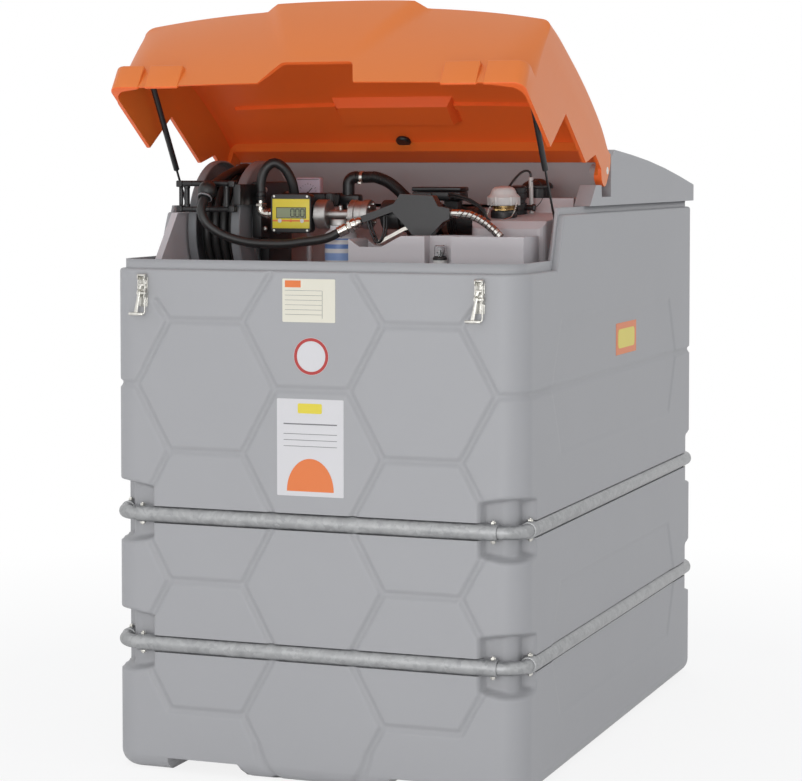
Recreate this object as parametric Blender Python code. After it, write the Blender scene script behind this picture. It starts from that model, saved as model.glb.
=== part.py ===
# Bunded diesel fuel tank: a grey outer bund round an inner vessel, a pump bay under
# a hinged orange lid, a reel with its dispensing hose, and two tube belts.
# Metres, +Z up. The origin is on the ground under the middle of the tank, and the
# front with the latches looks along -Y.

import math

import bmesh
import bpy
from mathutils import Matrix, Vector

# Overall sizes
WIDTH = 1.160
DEPTH = 1.800
HALF_W = WIDTH / 2
HALF_D = DEPTH / 2
SEAT = 0.0003
CORNER_R = 0.072

# Bund shell
BUND_WALL = 0.012
BUND_FLOOR = 0.050
FOOT_R = 0.045
RIM_WIDTH = 0.026
RIM_DEPTH = 0.036
FRONT_RIM_Z = 1.346
REAR_RIM_Z = 1.490
STEP_FRONT_Y = 0.284 - HALF_D
STEP_BACK_Y = 0.348 - HALF_D
LIP_INSET = 0.016
FRONT_LIP = 0.025
REAR_LIP = 0.0187
FORK_INNER_X = 0.182
FORK_OUTER_X = 0.420
FORK_HEIGHT = 0.036
FORK_SLOPE = 0.034

# Grooves of the honeycomb on the front and back walls
GROOVE_WIDTH = 0.022
GROOVE_FLOOR = 0.008
GROOVE_DEPTH = 0.007
HEX_COLUMNS = (0.074, 0.170, 0.382, 0.477)
HEX_TOP_ROW = 1.211
HEX_HEIGHT = 0.3474
RING_GROOVE_ROW = 0.5
SIDE_PANEL_STEP = 0.003
SIDE_PANEL_ROWS = (0.5, 2.5)
SIDE_PANEL_END = 0.240
SIDE_PANEL_POINT = 0.085

# Tube belts
BELT_ROWS = (1.5, 2.5)
TUBE_R = 0.022
TUBE_BORE_R = 0.0187
ELBOW_R = 0.0182
ELBOW_BEND_R = 0.060
TUBE_SINK = 0.012
TUBE_CLEARANCE = 0.0006
RECESS_DEPTH = 0.036
RECESS_UP = 0.085
RECESS_DOWN = 0.075
RECESS_ALONG_FRONT = 0.120
RECESS_ALONG_SIDE = 0.105
ELBOW_PLUG = 0.042

# Inner vessel and its moulded top
TANK_CLEARANCE = 0.006
TANK_WALL = 0.010
BAY_FLOOR_Z = 1.220
BAY_BACK_Y = 0.785 - HALF_D
TANK_TOP_Z = 1.500
DECK_SHEET = 0.010

# Moulded top of the vessel
PLATFORM_LEFT_X = 0.314
PLATFORM_FRONT_Y = -0.545
PLATFORM_FRONT_Z = 1.472
PLATFORM_BACK_Z = 1.490
VENT_STEP_Y = -0.280
VENT_STEP_Z = 1.530
LEFT_WALL_FOOT_Y = 0.150 - HALF_D
LEFT_WALL_TOP_Y = 0.254 - HALF_D
LEFT_WALL_TOP_Z = 1.490

# Tray for the nozzle
TRAY_LEFT_X = 0.020
TRAY_RIGHT_X = HALF_W - 0.070
TRAY_FRONT_Y = -0.690
TRAY_BACK_Y = -0.560
TRAY_BASE_Z = BAY_FLOOR_Z + SEAT
TRAY_TOP_Z = 1.434
TRAY_LEDGE_Z = 1.404
TRAY_WALL = 0.010
SADDLE_X = (0.186, 0.214)
SADDLE_Z = 1.4340 - SEAT
NICHE_RISE = 0.128
NICHE_LEFT_X = 0.236
NICHE_RIGHT_X = 0.310
NICHE_DEPTH = 0.040

# Rear cover
COVER_WALL = 0.012
COVER_BASE_Z = REAR_RIM_Z + REAR_LIP + SEAT
COVER_FRONT_Y = 0.590 - HALF_D
COVER_SLOPE_TOP = (COVER_FRONT_Y + 0.058, 1.566)
COVER_SHELF_Y = COVER_FRONT_Y + 0.113
COVER_NOTCH_FLOOR_Z = 1.533
COVER_WALL_Y = COVER_FRONT_Y + 0.212
COVER_CHEEK = 0.046
COVER_FRONT_TOP = (COVER_FRONT_Y + 0.248, 1.665)
COVER_BACK_TOP = (HALF_D - 0.020, 1.560)

# Lid, drawn closed and turned open about its hinge
HINGE_Y = 0.764 - HALF_D
HINGE_Z = 1.606
LID_OPEN = math.radians(34)
LID_WALL = 0.010
LID_FRONT_Y = -HALF_D - 0.005
LID_EDGE_Z = 1.354
LID_GAP = 0.006
FACE_SHARES = (0, 0.14, 0.34, 0.56, 0.78, 0.93)
LID_ARCH = 0.012
LID_FACE_SET = 0.003
LID_SIDE_R = 0.023
LID_BACK_Y = HINGE_Y - 0.044
LID_STEPS = (0, 0.32, 0.60, 0.80, 0.90, 0.95, 0.98, 1)
LID_INNER_STEPS = (0, 0.50, 0.80, 0.91, 0.965, 1)

# The crown from the crest back: (y, height in the middle, height at the sides)
LID_CROWN = (
    (0.100 - HALF_D, 1.682, 1.627), (0.185 - HALF_D, 1.694, 1.647), (0.300 - HALF_D, 1.700, 1.665),
    (0.407 - HALF_D, 1.7035, 1.679), (0.522 - HALF_D, 1.704, 1.688), (0.648 - HALF_D, 1.696, 1.688),
    (HINGE_Y - 0.029, 1.674, 1.674),
)

# The rounded rear end of the lid, from below upwards, as (y, z) off the hinge axis
LID_TAIL = (
    (-0.036, -0.053), (-0.014, -0.057), (0.008, -0.046), (0.017, -0.006), (0.016, 0.032), (0.000, 0.056),
)
PAD_FOOT_SHARE = 0.27
PAD_FOOT_X = 0.105
PAD_CREST_X = 0.230
PAD_HEIGHT = 0.022
PAD_FLARE = 1.3
GRIP_LOW_X = (-0.156, 0.122)
GRIP_TOP_X = (-0.102, 0.097)
GRIP_TOP_Z = 1.441
LATCH_BLOCK_HEIGHT = 0.061
LATCH_BLOCK_WIDTH = 0.100
LATCH_SLOT = 0.018
PIN_R = 0.008
PIN_CLEARANCE = 0.0005
EAR_THICKNESS = 0.022
KNUCKLE_R = 0.018
KNUCKLE_GAP = 0.008

# Gas springs
STRUT_X = HALF_W - 0.044
STRUT_FOOT = (-0.366, 1.269)
STRUT_HEAD_CLOSED = (-0.785, 1.476)
ROD_R = 0.0032
CYLINDER_R = 0.0080
CYLINDER_BORE_R = 0.0048
CYLINDER_LENGTH = 0.300
EYE_R = 0.0085
EYE_HALF = 0.0095

# Hose reel
REEL_Y = -0.410
REEL_Z = 1.444
REEL_R = 0.190
REEL_LEFT_X = -0.497
REEL_RIGHT_X = -0.339
FLANGE_LIP = 0.026
FLANGE_SHEET = 0.006
HUB_R = 0.060
WOUND_R = 0.158
AXLE_R = 0.016
BRACKET_REACH = 0.115

# Roller frame in front of the reel
GUIDE_X = (-0.512, -0.336)
GUIDE_Z = (1.492, 1.579)
GUIDE_FRONT_Y = -0.640
GUIDE_BACK_Y = -0.614

# Dispensing hose
HOSE_R = 0.0125
BALL_R = 0.026
HOSE_ROUTE = (
    (-0.4059, -0.6830, 1.5285),
    (-0.4064, -0.6915, 1.5178),
    (-0.4069, -0.7021, 1.5045),
    (-0.4015, -0.7050, 1.4830),
    (-0.3860, -0.7010, 1.4590),
    (-0.3600, -0.6910, 1.4385),
    (-0.3280, -0.6800, 1.4235),
    (-0.2850, -0.6690, 1.4120),
    (-0.2430, -0.6600, 1.4080),
    (-0.1770, -0.6500, 1.4075),
    (-0.1330, -0.6440, 1.4130),
    (-0.0940, -0.6370, 1.4180),
    (-0.0625, -0.6276, 1.4253),
    (-0.0370, -0.6200, 1.4390),
)

# Meter, filter and pipework
LINE_Y = -0.540
LINE_Z = 1.487
METER_X = (-0.250, -0.131)
METER_Z = (1.436, 1.5425)
METER_FRONT_Y = -0.588
PIPE_R = 0.0125
FLANGE_R = 0.040
METER_BACK_Y = -0.5545
ELBOW_X = -0.2995
FEED_R = 0.0135
FEED_BASE_Z = 1.524
FLANGES = ((-0.128, -0.094), (-0.028, 0.029))
PUMP_FLANGE_X = 0.067
HEAD_Z = (1.4565, LINE_Z - PIPE_R - SEAT)

# Pump
PUMP_X = (0.100, 0.186)
PUMP_Y = -0.430
PUMP_Z = 1.472
MOTOR_Z = 1.468
MOTOR_END_X = 0.306
TERMINAL_LOW = (0.118, -0.465, 1.5245)
TERMINAL_HIGH = (0.258, -0.395, 1.562)
SUCTION_X = -0.098
SUCTION_Y = -0.390
SUCTION_TOP_Z = 1.588
SUCTION_BEND = 0.022
SUCTION_R = 0.0150

# Level gauge and fill point
GAUGE_X = (-0.270, -0.196)
GAUGE_Y = -0.350
FILL_X = 0.372
FILL_Y = -0.430
SENSOR_X = 0.381
SENSOR_Y = -0.330
LEVEL_X = 0.410
VENT_X = 0.400
VENT_Y = -0.215

# Nozzle
LEVER_PIVOT = (0.168, 1.456)
NOZZLE_Y = -0.600
SPOUT_ROUTE = (
    (0.2803, NOZZLE_Y, 1.4920), (0.3060, NOZZLE_Y, 1.4920), (0.3200, NOZZLE_Y, 1.4920),
    (0.3440, NOZZLE_Y, 1.4850), (0.3660, NOZZLE_Y, 1.4740), (0.3880, NOZZLE_Y, 1.4590),
    (0.4060, NOZZLE_Y, 1.4430), (0.4180, NOZZLE_Y, 1.4300),
)

# Latches
LATCH_X = (0.098 - HALF_W, HALF_W - 0.117)
LATCH_Z = (1.245, 1.325)
LATCH_PIVOT_Z = 1.282
LATCH_BAR_Z = 1.226

LOOKS = {}
GREY = (0.39, 0.39, 0.40)
ORANGE = (0.77, 0.19, 0.03)
BLACK = (0.02, 0.02, 0.02)


def clear_scene():
    for old in list(bpy.data.objects):
        bpy.data.objects.remove(old, do_unlink=True)


def finish(name, colour, roughness, metallic=0.0):
    made = bpy.data.materials.new(name)
    made.use_nodes = True
    shader = made.node_tree.nodes["Principled BSDF"]
    shader.inputs["Base Color"].default_value = (*colour, 1.0)
    shader.inputs["Roughness"].default_value = roughness
    shader.inputs["Metallic"].default_value = metallic
    return made


def place(name, shape, look, guide=False):
    """Turns a bmesh into a named object."""
    mesh = bpy.data.meshes.new(name)
    shape.to_mesh(mesh)
    shape.free()
    mesh.materials.append(look)
    thing = bpy.data.objects.new(name, mesh)
    bpy.context.collection.objects.link(thing)
    if guide:
        thing.hide_render = True
        thing.display_type = "WIRE"
    return thing


def combine(target, shape, operation, self_crossing=False):
    """Cuts or joins one shape with a Boolean whose operand is a hidden guide."""
    label = f"{target.name}_{operation.lower()}_{len(target.modifiers)}"
    guide = place(label, shape, target.data.materials[0], guide=True)
    step = target.modifiers.new(label, "BOOLEAN")
    step.operation = operation
    step.solver = "EXACT"
    step.use_self = self_crossing
    step.object = guide
    guide.parent = target
    return target


def cut(target, shape, self_crossing=False):
    return combine(target, shape, "DIFFERENCE", self_crossing)


def join(target, shape):
    return combine(target, shape, "UNION")


def prism(outline, axis, low, high):
    """Extrudes an outline: (y, z) along X, (x, z) along Y or (x, y) along Z."""
    spots = {
        "X": lambda a, b: (low, a, b),
        "Y": lambda a, b: (a, low, b),
        "Z": lambda a, b: (a, b, low),
    }[axis]
    step = {"X": (high - low, 0, 0), "Y": (0, high - low, 0), "Z": (0, 0, high - low)}[axis]
    shape = bmesh.new()
    face = shape.faces.new([shape.verts.new(spots(a, b)) for a, b in outline])
    grown = bmesh.ops.extrude_face_region(shape, geom=[face])
    moved = [item for item in grown["geom"] if isinstance(item, bmesh.types.BMVert)]
    bmesh.ops.translate(shape, verts=moved, vec=step)
    bmesh.ops.recalc_face_normals(shape, faces=shape.faces)
    return shape


def block(low, high):
    outline = ((low[0], low[1]), (high[0], low[1]), (high[0], high[1]), (low[0], high[1]))
    return prism(outline, "Z", low[2], high[2])


def round_edges(shape, wanted, radius, segments):
    """Rounds every edge whose two end points pass the test."""
    edges = [e for e in shape.edges if wanted(e.verts[0].co, e.verts[1].co)]
    bmesh.ops.bevel(
        shape, geom=edges, offset=radius, offset_type="OFFSET", segments=segments,
        profile=0.5, affect="EDGES", clamp_overlap=True, material=-1,
    )
    return shape


def upright(a, b):
    return abs(a.x - b.x) < 1e-5 and abs(a.y - b.y) < 1e-5


def rounded_box(low, high, corner, segments=5):
    """A box whose upright edges are rounded."""
    return round_edges(block(low, high), upright, corner, segments)


def aim(start, direction):
    turn = Vector((0, 0, 1)).rotation_difference(Vector(direction))
    return Matrix.Translation(start) @ turn.to_matrix().to_4x4()


def turned(profile, start, direction, sides=24, ring=False):
    """Spins (radius, height) points round the axis that leaves start."""
    shape = bmesh.new()
    spots = [shape.verts.new((radius, 0, height)) for radius, height in profile]
    rails = [shape.edges.new(pair) for pair in zip(spots, spots[1:])]
    if ring:
        rails.append(shape.edges.new((spots[-1], spots[0])))
    bmesh.ops.spin(
        shape, geom=spots + rails, axis=(0, 0, 1), cent=(0, 0, 0),
        angle=math.tau, steps=sides, use_merge=True,
    )
    bmesh.ops.remove_doubles(shape, verts=shape.verts, dist=1e-6)
    bmesh.ops.recalc_face_normals(shape, faces=shape.faces)
    bmesh.ops.transform(shape, matrix=aim(start, direction), verts=shape.verts)
    return shape


def rod(start, end, radius, sides=16):
    span = Vector(end) - Vector(start)
    profile = ((0, 0), (radius, 0), (radius, span.length), (0, span.length))
    return turned(profile, start, span, sides)


def pipe(start, end, outer, inner, sides=18):
    span = Vector(end) - Vector(start)
    profile = ((inner, 0), (outer, 0), (outer, span.length), (inner, span.length))
    return turned(profile, start, span, sides, ring=True)


def smooth_route(points, spacing):
    """Reads evenly spaced points from the smooth curve through the given ones."""
    knots = [Vector(p) for p in points]
    knots = [2 * knots[0] - knots[1]] + knots + [2 * knots[-1] - knots[-2]]
    fine = [knots[1]]
    for a, b, c, d in zip(knots, knots[1:], knots[2:], knots[3:]):
        for step in range(1, 21):
            t = step / 20
            fine.append(0.5 * (2 * b + (c - a) * t + (2 * a - 5 * b + 4 * c - d) * t ** 2
                               + (3 * b - a - 3 * c + d) * t ** 3))
    total = sum((q - p).length for p, q in zip(fine, fine[1:]))
    count = max(4, round(total / spacing))
    picked = [fine[0]]
    gone = 0.0
    for p, q in zip(fine, fine[1:]):
        gone += (q - p).length
        if gone >= total / count * len(picked) - 1e-9 and len(picked) < count:
            picked.append(q)
    return picked + [fine[-1]]


def tube(name, points, radius, look, resolution=4):
    """A round bar along a route, as a curve with a bevel and filled caps."""
    line = bpy.data.curves.new(name, "CURVE")
    line.dimensions = "3D"
    line.bevel_depth = radius
    line.bevel_resolution = resolution
    line.use_fill_caps = True
    spline = line.splines.new("POLY")
    spline.points.add(len(points) - 1)
    for spot, point in zip(spline.points, points):
        spot.co = (*point, 1.0)
    line.materials.append(look)
    thing = bpy.data.objects.new(name, line)
    bpy.context.collection.objects.link(thing)
    return thing


def tube_shape(points, radius, resolution=4):
    """The mesh of such a bar, for a Boolean."""
    thing = tube("bar", points, radius, LOOKS["steel"], resolution)
    bpy.context.view_layer.update()
    mesh = bpy.data.meshes.new_from_object(thing.evaluated_get(bpy.context.evaluated_depsgraph_get()))
    shape = bmesh.new()
    shape.from_mesh(mesh)
    bmesh.ops.remove_doubles(shape, verts=shape.verts, dist=1e-6)
    bmesh.ops.recalc_face_normals(shape, faces=shape.faces)
    line = thing.data
    bpy.data.objects.remove(thing, do_unlink=True)
    bpy.data.curves.remove(line)
    bpy.data.meshes.remove(mesh)
    return shape


def arc(centre, radius, start, end, steps):
    """Points of a circular arc in two dimensions, angles in degrees."""
    angles = (math.radians(start + (end - start) * i / steps) for i in range(steps + 1))
    return [(centre[0] + radius * math.cos(a), centre[1] + radius * math.sin(a)) for a in angles]


def hex_row(row):
    return HEX_TOP_ROW - row * HEX_HEIGHT


def belt_heights():
    return [hex_row(row) for row in BELT_ROWS]


def stepped_profile(front_y, back_y, step_shift, front_z, rear_z, base_z):
    """The shell's side outline, (y, z): low at the front, raised behind the step."""
    return (
        (front_y, base_z),
        (front_y, front_z),
        (STEP_FRONT_Y + step_shift, front_z),
        (STEP_BACK_Y + step_shift, rear_z),
        (back_y, rear_z),
        (back_y, base_z),
    )


def groove_lines():
    """The honeycomb's lines on the front wall, as pairs of (x, z) ends."""
    left = [x - HALF_W for x in HEX_COLUMNS]
    v1, e1, e2, v2 = left
    lines = []
    for side in (1, -1):
        for row in (0, 1, 2, 3):
            lines.append(((side * e1, hex_row(row)), (side * e2, hex_row(row))))
            lines.append(((side * e2, hex_row(row)), (side * v2, hex_row(row + 0.5))))
            if row < 3:
                lines.append(((side * e1, hex_row(row)), (side * v1, hex_row(row + 0.5))))
                lines.append(((side * v1, hex_row(row + 0.5)), (side * e1, hex_row(row + 1))))
                lines.append(((side * v2, hex_row(row + 0.5)), (side * e2, hex_row(row + 1))))
        lines.append(((side * e2, hex_row(0)), (side * (v2 - 0.014), hex_row(-0.36))))
        lines.append(((side * e1, hex_row(0)), (side * (v1 + 0.058), hex_row(-0.14))))
        lines.append(((side * v1, hex_row(RING_GROOVE_ROW)), (side * -HALF_W, hex_row(RING_GROOVE_ROW))))
    for row in (0.5, 1.5, 2.5):
        lines.append(((v2, hex_row(row)), (-v2, hex_row(row))))
    return lines


def groove_network(face_y, inward):
    """Trapezoid bars along every line, standing in the wall at face_y."""
    half_top = GROOVE_WIDTH / 2
    half_low = GROOVE_FLOOR / 2
    proud = GROOVE_DEPTH
    shape = bmesh.new()
    for (x0, z0), (x1, z1) in groove_lines():
        run = Vector((x1 - x0, z1 - z0))
        along = run.normalized()
        start = Vector((x0, z0)) - along * half_low
        end = Vector((x1, z1)) + along * half_low
        across = Vector((-along.y, along.x))
        slope = (half_top - half_low) / GROOVE_DEPTH
        wide = half_top + proud * slope
        ends = []
        for spot in (start, end):
            ring = []
            for half, depth in ((wide, -proud), (half_low, GROOVE_DEPTH), (-half_low, GROOVE_DEPTH), (-wide, -proud)):
                flat = spot + across * half
                ring.append(shape.verts.new((flat.x, face_y + inward * depth, flat.y)))
            ends.append(shape.faces.new(ring))
        bmesh.ops.bridge_loops(shape, edges=list(ends[0].edges) + list(ends[1].edges))
    bmesh.ops.recalc_face_normals(shape, faces=shape.faces)
    return shape


def ring_groove(z):
    """The groove that runs round the sides, level with a row of hexagons."""
    outer = GROOVE_WIDTH / 2
    inner = GROOVE_FLOOR / 2
    x = HALF_W
    profile = (
        (x + GROOVE_DEPTH, z + 2 * outer - inner), (x - GROOVE_DEPTH, z + inner),
        (x - GROOVE_DEPTH, z - inner), (x + GROOVE_DEPTH, z - 2 * outer + inner),
    )
    return prism(profile, "Y", -HALF_D + CORNER_R, HALF_D - CORNER_R)


def mirrored(shape, axis):
    """Flips a shape to the other side of the tank."""
    factors = {"X": (-1, 1, 1), "Y": (1, -1, 1)}[axis]
    bmesh.ops.scale(shape, vec=factors, verts=shape.verts)
    bmesh.ops.recalc_face_normals(shape, faces=shape.faces)
    return shape


def channel_outline(face, z, outward):
    """The half-round channel that a belt tube lies in, as (depth axis, z)."""
    radius = TUBE_R + TUBE_CLEARANCE
    centre = face - outward * TUBE_SINK
    bottom = arc((centre, z), radius, 90, 270, 7)
    if outward < 0:
        bottom = [(2 * centre - a, b) for a, b in bottom]
    reach = face + outward * radius
    return [(reach, z + radius)] + bottom + [(reach, z - radius)]


def corner_recess(z):
    """The pocket round a belt's elbow at the front right corner."""
    bend_x = HALF_W - CORNER_R
    bend_y = -(HALF_D - CORNER_R)
    inner = CORNER_R - RECESS_DEPTH
    far = 0.05
    outline = [(HALF_W - RECESS_ALONG_FRONT, -HALF_D - far), (HALF_W - RECESS_ALONG_FRONT, bend_y - inner)]
    outline += arc((bend_x, bend_y), inner, -90, 0, 5)
    outline += [
        (bend_x + inner, -HALF_D + RECESS_ALONG_SIDE),
        (HALF_W + far, -HALF_D + RECESS_ALONG_SIDE),
        (HALF_W + far, -HALF_D - far),
    ]
    return prism(outline, "Z", z - RECESS_DOWN, z + RECESS_UP)


def side_panel(centre_row):
    """A long hexagon pressed into the right side wall, as (y, z)."""
    z = hex_row(centre_row)
    half = HEX_HEIGHT / 2
    reach = HALF_D - SIDE_PANEL_END
    point = SIDE_PANEL_POINT
    outline = (
        (-reach, z), (-reach + point, z + half), (reach - point, z + half),
        (reach, z), (reach - point, z - half), (-reach + point, z - half),
    )
    return prism(outline, "X", HALF_W - SIDE_PANEL_STEP, HALF_W + SIDE_PANEL_STEP)


def bund_shell():
    """The outer container, open at the top, with channels, recesses and fork slots."""
    body = prism(stepped_profile(-HALF_D, HALF_D, 0, FRONT_RIM_Z, REAR_RIM_Z, 0), "X", -HALF_W, HALF_W)
    round_edges(body, upright, CORNER_R, 6)
    round_edges(body, lambda a, b: a.z < 1e-5 and b.z < 1e-5, FOOT_R, 3)
    top_test = lambda a, b: min(a.z, b.z) > FRONT_RIM_Z - 1e-4
    shell = place("bund_shell", round_edges(body, top_test, 0.008, 2), LOOKS["grey"])

    lip_y = HALF_D - LIP_INSET
    lip_x = HALF_W - LIP_INSET
    lip = prism(
        stepped_profile(-lip_y, lip_y, -0.004, FRONT_RIM_Z + FRONT_LIP, REAR_RIM_Z + REAR_LIP, 1.2),
        "X", -lip_x, lip_x,
    )
    join(shell, round_edges(lip, upright, CORNER_R - LIP_INSET, 6))

    for zone in cavity_zones():
        cut(shell, zone)
    for z in belt_heights():
        for sign in (1, -1):
            front = channel_outline(-sign * HALF_D, z, -sign)
            cut(shell, along_x(front))
            side = channel_outline(sign * HALF_W, z, sign)
            cut(shell, prism(side, "Y", -HALF_D + CORNER_R, HALF_D - CORNER_R))
        for flips in ((), ("X",), ("Y",), ("X", "Y")):
            pocket = corner_recess(z)
            for axis in flips:
                mirrored(pocket, axis)
            cut(shell, pocket)
    for sign in (1, -1):
        slot = (
            (sign * FORK_INNER_X, -0.01), (sign * FORK_OUTER_X, -0.01),
            (sign * FORK_OUTER_X, FORK_HEIGHT), (sign * (FORK_INNER_X + FORK_SLOPE), FORK_HEIGHT),
        )
        cut(shell, prism(slot, "Y", -HALF_D - 0.02, HALF_D + 0.02))
    cut(shell, groove_network(-HALF_D, 1), self_crossing=True)
    cut(shell, groove_network(HALF_D, -1), self_crossing=True)
    for row in SIDE_PANEL_ROWS:
        cut(shell, side_panel(row))
        cut(shell, mirrored(side_panel(row), "X"))
    cut(shell, ring_groove(hex_row(RING_GROOVE_ROW)))
    cut(shell, mirrored(ring_groove(hex_row(RING_GROOVE_ROW)), "X"))
    return shell


def along_x(outline):
    return prism(outline, "X", -(HALF_W - CORNER_R), HALF_W - CORNER_R)


def cavity_zones():
    """The hollow of the bund: full width between the belts, narrower behind them."""
    dent = RECESS_DEPTH + BUND_WALL
    core_x = HALF_W - dent
    core_y = HALF_D - dent
    wide_x = HALF_W - BUND_WALL
    wide_y = HALF_D - BUND_WALL
    rim_x = HALF_W - RIM_WIDTH
    rim_y = HALF_D - RIM_WIDTH
    top = REAR_RIM_Z + 0.1
    upper, lower = belt_heights()
    yield rounded_box((-core_x, -core_y, BUND_FLOOR), (core_x, core_y, top), 0.03, 2)
    spans = (
        (BUND_FLOOR + 0.03, lower - RECESS_DOWN - BUND_WALL),
        (lower + RECESS_UP + BUND_WALL, upper - RECESS_DOWN - BUND_WALL),
        (upper + RECESS_UP + BUND_WALL, FRONT_RIM_Z - RIM_DEPTH),
    )
    for low, high in spans:
        yield rounded_box((-wide_x, -wide_y, low), (wide_x, wide_y, high), CORNER_R - BUND_WALL, 3)
    yield rounded_box((-rim_x, -rim_y, spans[2][1] - 0.02), (rim_x, rim_y, top), CORNER_R - RIM_WIDTH, 4)


def inner_tank():
    """The inner vessel's floor and walls, open at the top."""
    x = HALF_W - RECESS_DEPTH - BUND_WALL - TANK_CLEARANCE
    y = HALF_D - RECESS_DEPTH - BUND_WALL - TANK_CLEARANCE
    base = BUND_FLOOR + SEAT
    front_top = BAY_FLOOR_Z - DECK_SHEET - SEAT
    rear_top = TANK_TOP_Z - DECK_SHEET - SEAT
    outline = (
        (-y, base), (-y, front_top), (BAY_BACK_Y, front_top),
        (BAY_BACK_Y, rear_top), (y, rear_top), (y, base),
    )
    body = round_edges(prism(outline, "X", -x, x), upright_corner(y), 0.028, 3)
    tank = place("inner_tank", body, LOOKS["grey"])
    inside = (x - TANK_WALL, y - TANK_WALL)
    cut(tank, rounded_box((-inside[0], -inside[1], base + TANK_WALL), (*inside, TANK_TOP_Z), 0.02, 3))
    return tank


def upright_corner(y):
    return lambda a, b: upright(a, b) and abs(abs(a.y) - y) < 1e-4


def bay_deck():
    """The vessel's moulded top: bay floor, back wall, raised rear and filler platform."""
    x = HALF_W - RECESS_DEPTH - BUND_WALL - TANK_CLEARANCE
    y = HALF_D - RECESS_DEPTH - BUND_WALL - TANK_CLEARANCE
    low = BAY_FLOOR_Z - DECK_SHEET
    high = TANK_TOP_Z - DECK_SHEET
    outline = (
        (-y, low), (-y, BAY_FLOOR_Z), (BAY_BACK_Y - DECK_SHEET, BAY_FLOOR_Z),
        (BAY_BACK_Y - DECK_SHEET, TANK_TOP_Z), (y, TANK_TOP_Z), (y, high),
        (BAY_BACK_Y - SEAT, high), (BAY_BACK_Y - SEAT, low),
    )
    deck = place("bay_deck", prism(outline, "X", -x, x), LOOKS["grey"])
    sink = 0.004
    platform = (
        (PLATFORM_FRONT_Y, BAY_FLOOR_Z - sink), (PLATFORM_FRONT_Y, PLATFORM_FRONT_Z - 0.02),
        (PLATFORM_FRONT_Y + 0.02, PLATFORM_FRONT_Z), (VENT_STEP_Y, PLATFORM_BACK_Z),
        (VENT_STEP_Y + 0.01, VENT_STEP_Z), (BAY_BACK_Y - sink, VENT_STEP_Z),
        (BAY_BACK_Y - sink, BAY_FLOOR_Z - sink),
    )
    raised = prism(platform, "X", PLATFORM_LEFT_X, x - 0.004)
    round_edges(raised, upright, 0.030, 4)
    join(deck, raised)
    wall = (
        (LEFT_WALL_FOOT_Y, BAY_FLOOR_Z - sink), (LEFT_WALL_FOOT_Y, 1.366), (LEFT_WALL_TOP_Y, LEFT_WALL_TOP_Z),
        (BAY_BACK_Y - sink, LEFT_WALL_TOP_Z), (BAY_BACK_Y - sink, BAY_FLOOR_Z - sink),
    )
    join(deck, prism(wall, "X", -x + 0.004, REEL_LEFT_X - 0.006))
    return deck


def cover_profile(inset=0.0):
    """The rear cover's side outline, (y, z)."""
    top_y, top_z = COVER_FRONT_TOP
    back_y, back_z = COVER_BACK_TOP
    crown = []
    for i in range(1, 6):
        t = i / 5
        y = top_y + (back_y - top_y) * t
        bulge = 0.012 * math.sin(math.pi * t)
        crown.append((y - inset * (t == 1), top_z + (back_z - top_z) * t + bulge - inset))
    return crown


def rear_cover():
    """The fixed grey cover behind the lid, with cheeks that carry the hinge."""
    outline = [
        (COVER_FRONT_Y, COVER_BASE_Z), COVER_SLOPE_TOP, (COVER_SHELF_Y, COVER_SLOPE_TOP[1]),
        (COVER_SHELF_Y + 0.006, COVER_NOTCH_FLOOR_Z), (COVER_WALL_Y, COVER_NOTCH_FLOOR_Z),
        (COVER_WALL_Y, COVER_FRONT_TOP[1] - 0.022), COVER_FRONT_TOP,
    ]
    outline += cover_profile() + [(HALF_D, COVER_BACK_TOP[1] - 0.022), (HALF_D, COVER_BASE_Z)]
    body = prism(outline, "X", -HALF_W, HALF_W)
    round_edges(body, lambda a, b: upright(a, b) and a.y > 0.8, CORNER_R, 5)
    cover = place("rear_cover", body, LOOKS["grey"])

    inside = [(COVER_WALL_Y + COVER_WALL, COVER_BASE_Z - 0.01),
              (COVER_WALL_Y + COVER_WALL, COVER_FRONT_TOP[1] - COVER_WALL - 0.012),
              (COVER_FRONT_TOP[0] + COVER_WALL, COVER_FRONT_TOP[1] - COVER_WALL)]
    inside += [(min(y, HALF_D - 0.04), z) for y, z in cover_profile(COVER_WALL)]
    inside += [(HALF_D - RIM_WIDTH, COVER_BACK_TOP[1] - 0.03), (HALF_D - RIM_WIDTH, COVER_BASE_Z - 0.01)]
    hollow = prism(inside, "X", -(HALF_W - RIM_WIDTH), HALF_W - RIM_WIDTH)
    cut(cover, hollow)
    middle = HALF_W - COVER_CHEEK
    cut(cover, block((-middle, COVER_FRONT_Y - 0.01, COVER_BASE_Z - 0.01), (middle, COVER_WALL_Y, 1.70)))
    for sign in (1, -1):
        knuckle = [(HINGE_Y - KNUCKLE_R, COVER_NOTCH_FLOOR_Z - 0.01)]
        knuckle += arc((HINGE_Y, HINGE_Z), KNUCKLE_R, 180, 0, 8)
        knuckle += [(HINGE_Y + KNUCKLE_R, COVER_NOTCH_FLOOR_Z - 0.01)]
        near = HALF_W - COVER_CHEEK + 0.001
        far = HALF_W - EAR_THICKNESS - 0.005
        join(cover, prism(knuckle, "X", *sorted((sign * near, sign * far))))
        bore = rod((sign * (near - 0.01), HINGE_Y, HINGE_Z), (sign * (far + 0.01), HINGE_Y, HINGE_Z), PIN_R + PIN_CLEARANCE, 12)
        cut(cover, bore)
    return cover


def mix(a, b, share):
    return a + (b - a) * share


def lid_stations(half, steps):
    """Places across the lid, closer together towards its rounded ends."""
    right = [half * step for step in steps]
    return [-x for x in reversed(right[1:])] + right


def lid_edge(x):
    """Height of the closed lid's front lower edge, which arches up in the middle."""
    return LID_EDGE_Z + LID_ARCH * (1 - (x / HALF_W) ** 2)


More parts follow.
